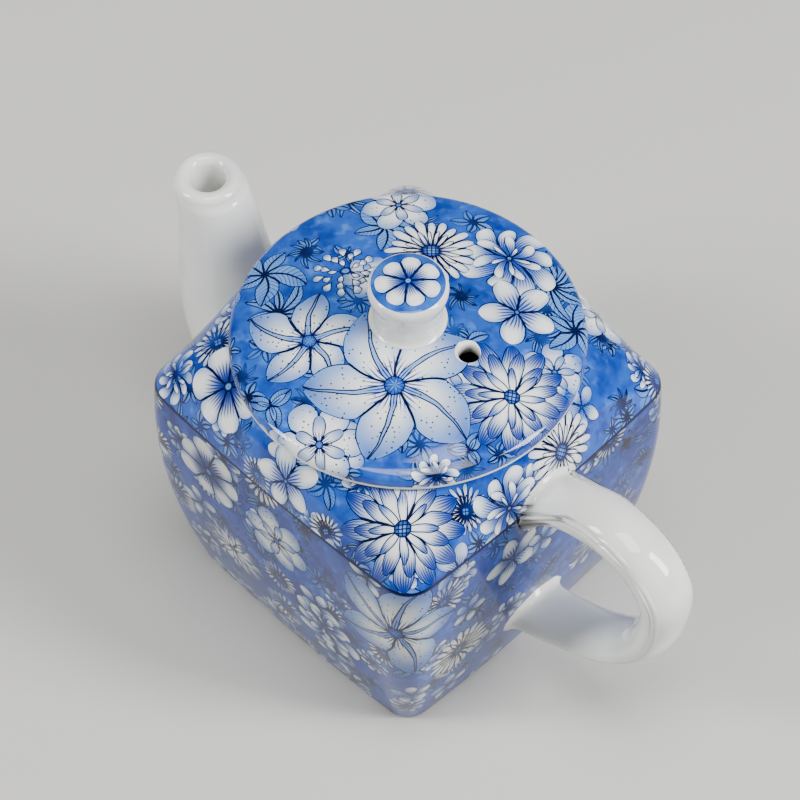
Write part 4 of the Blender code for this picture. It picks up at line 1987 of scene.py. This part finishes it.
SOFT_BOXES = (
    SoftBox("window_right", 116, 34, 1.2, (0.3, 0.8), 24),
    SoftBox("window_left", -30, 36, 1.2, (0.24, 0.6), 13),
    SoftBox("overhead", 70, 80, 1.6, (0.7, 0.7), 15),
)


@dataclass(frozen=True)
class Studio:
    """A pale floor, soft boxes and the camera, all round the point that the camera looks at."""

    aim: Point
    azimuth: float = 45.0
    elevation: float = 54.5
    distance: float = 0.85
    lens: float = 175.6
    floor_size: float = 6.0
    floor_colour: str = "bfbeba"
    floor_roughness: float = 0.7
    fill_colour: str = "d0d0cd"
    fill_strength: float = 0.22

    def floor(self) -> None:
        """Lays a plain pale floor under the pot."""
        bpy.ops.mesh.primitive_plane_add(size=self.floor_size)
        floor = bpy.context.active_object
        floor.name = "studio_floor"
        material, _, shader = new_finish("matt_studio_paper")
        shader.inputs["Base Color"].default_value = linear(self.floor_colour)
        shader.inputs["Roughness"].default_value = self.floor_roughness
        floor.data.materials.append(material)

    def hang(
        self, name: str, data: bpy.types.ID, azimuth: float, elevation: float, distance: float
    ) -> Piece:
        """Hangs a light or a camera so that it faces the pot.

        Args:
            name: Its name.
            data: The light or the camera.
            azimuth: Degrees round from the front.
            elevation: Degrees above the horizon.
            distance: Metres from the pot.

        Returns:
            The new object.
        """
        hung = bpy.data.objects.new(name, data)
        bpy.context.scene.collection.objects.link(hung)
        turn, lift = math.radians(azimuth), math.radians(elevation)
        flat = math.cos(lift)
        back = Vector((math.sin(turn) * flat, -math.cos(turn) * flat, math.sin(lift)))
        hung.location = Vector(self.aim) + back * distance
        hung.rotation_euler = (-back).to_track_quat("-Z", "Y").to_euler()
        return hung

    def lights(self) -> None:
        """Sets the soft boxes and an even fill."""
        for box in SOFT_BOXES:
            data = bpy.data.lights.new(box.name, "AREA")
            data.shape = "RECTANGLE"
            data.size, data.size_y = box.size
            data.energy = box.power
            self.hang(box.name, data, box.azimuth, box.elevation, box.distance)
        world = bpy.data.worlds.new("even_fill")
        world.use_nodes = True
        sky = world.node_tree.nodes["Background"]
        sky.inputs["Color"].default_value = linear(self.fill_colour)
        sky.inputs["Strength"].default_value = self.fill_strength
        bpy.context.scene.world = world

    def camera(self) -> None:
        """Places the camera on its bearing round the pot."""
        data = bpy.data.cameras.new("camera")
        data.lens = self.lens
        data.clip_end = 20.0
        camera = self.hang("camera", data, self.azimuth, self.elevation, self.distance)
        bpy.context.scene.camera = camera


# The build


def settle(piece: Piece, body: str, slot: str, *nodes: str) -> None:
    """Hands a finished piece to the frame.

    Args:
        piece: The finished piece.
        body: The moving body that it rides on.
        slot: The record's material slot; not used.
        nodes: The solids that it stands for.
    """
    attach(piece, body)
    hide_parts(*nodes)
    faces = len(piece.data.polygons)
    log.info("%s rides on %s for %s, %d faces", piece.name, body, ", ".join(nodes), faces)


def main() -> None:
    """Builds the teapot's pieces in order."""
    logging.basicConfig(level=logging.INFO, format="%(name)s: %(message)s")
    for obj in list(bpy.data.objects):
        bpy.data.objects.remove(obj, do_unlink=True)
    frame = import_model()
    body_low, body_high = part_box("body")
    lid_low, lid_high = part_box("lid")
    spout_low, spout_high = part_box("spout")
    handle_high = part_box("handle")[1]
    knob_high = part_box("knob")[1]
    axis_x = (body_low.x + body_high.x) / 2
    studio = Studio((axis_x - 1.2 * MM, -1.2 * MM, 57.5 * MM))
    studio.floor()
    studio.lights()
    studio.camera()

    stencils = Stencils()
    white = WhiteGlaze().material()
    bare = BareBiscuit().material()
    pot = PotShell(axis_x, neck_height=body_high.z)
    # the side print's higher gamma and dimmed value are painted shade: the sides are darker than
    # the shoulder and lid because they get less light
    side_print = TransferPrint(
        "side_transfer_print", SIDE_BLOOMS, SIDE_FILLER, pot.seam_height, ink_depth_and_shade=1.9, density=0.72
    ).material(stencils)
    shoulder_print = TransferPrint(
        "shoulder_transfer_print", SHOULDER_BLOOMS, SIDE_FILLER, pot.seam_height, ink_depth_and_shade=1.6
    ).material(stencils)
    shell = pot.build([white, bare, side_print, shoulder_print, white])
    skin = BVHTree.FromObject(shell, bpy.context.evaluated_depsgraph_get())
    spout = Spout(axis_x, axis_x - spout_low.x, spout_high.z).build(skin, white)
    settle(spout, "pot", "white_glaze", "spout")
    handle = Handle(axis_x, handle_high.x - axis_x).build(skin, white)
    settle(handle, "pot", "white_glaze", "handle")
    pot.pierce_outlet(shell)
    settle(shell, "pot", "blue_print_glaze", "body")

    lid_print = TransferPrint("lid_transfer_print", LID_BLOOMS, LID_FILLER, ink_depth_and_shade=1.55)
    knob_print = TransferPrint("knob_transfer_print", KNOB_BLOOMS, wobble=0.15)
    lid = Lid(axis_x, (lid_high.x - lid_low.x) / 2, body_high.z + 0.3 * MM, lid_low.z)
    lid_shell = lid.build([lid_print.material(stencils), white])
    settle(lid_shell, "lid_assembly", "lid_print_glaze", "lid")
    knob = Knob(axis_x, lid.apex, knob_high.z)
    button = knob.build([knob_print.material(stencils), white])
    settle(button, "lid_assembly", "knob_glaze", "knob")
    strainer = frame["nodes"]["strainer"]
    strainer.data.materials.clear()
    strainer.data.materials.append(white)


if __name__ == "__main__":
    main()
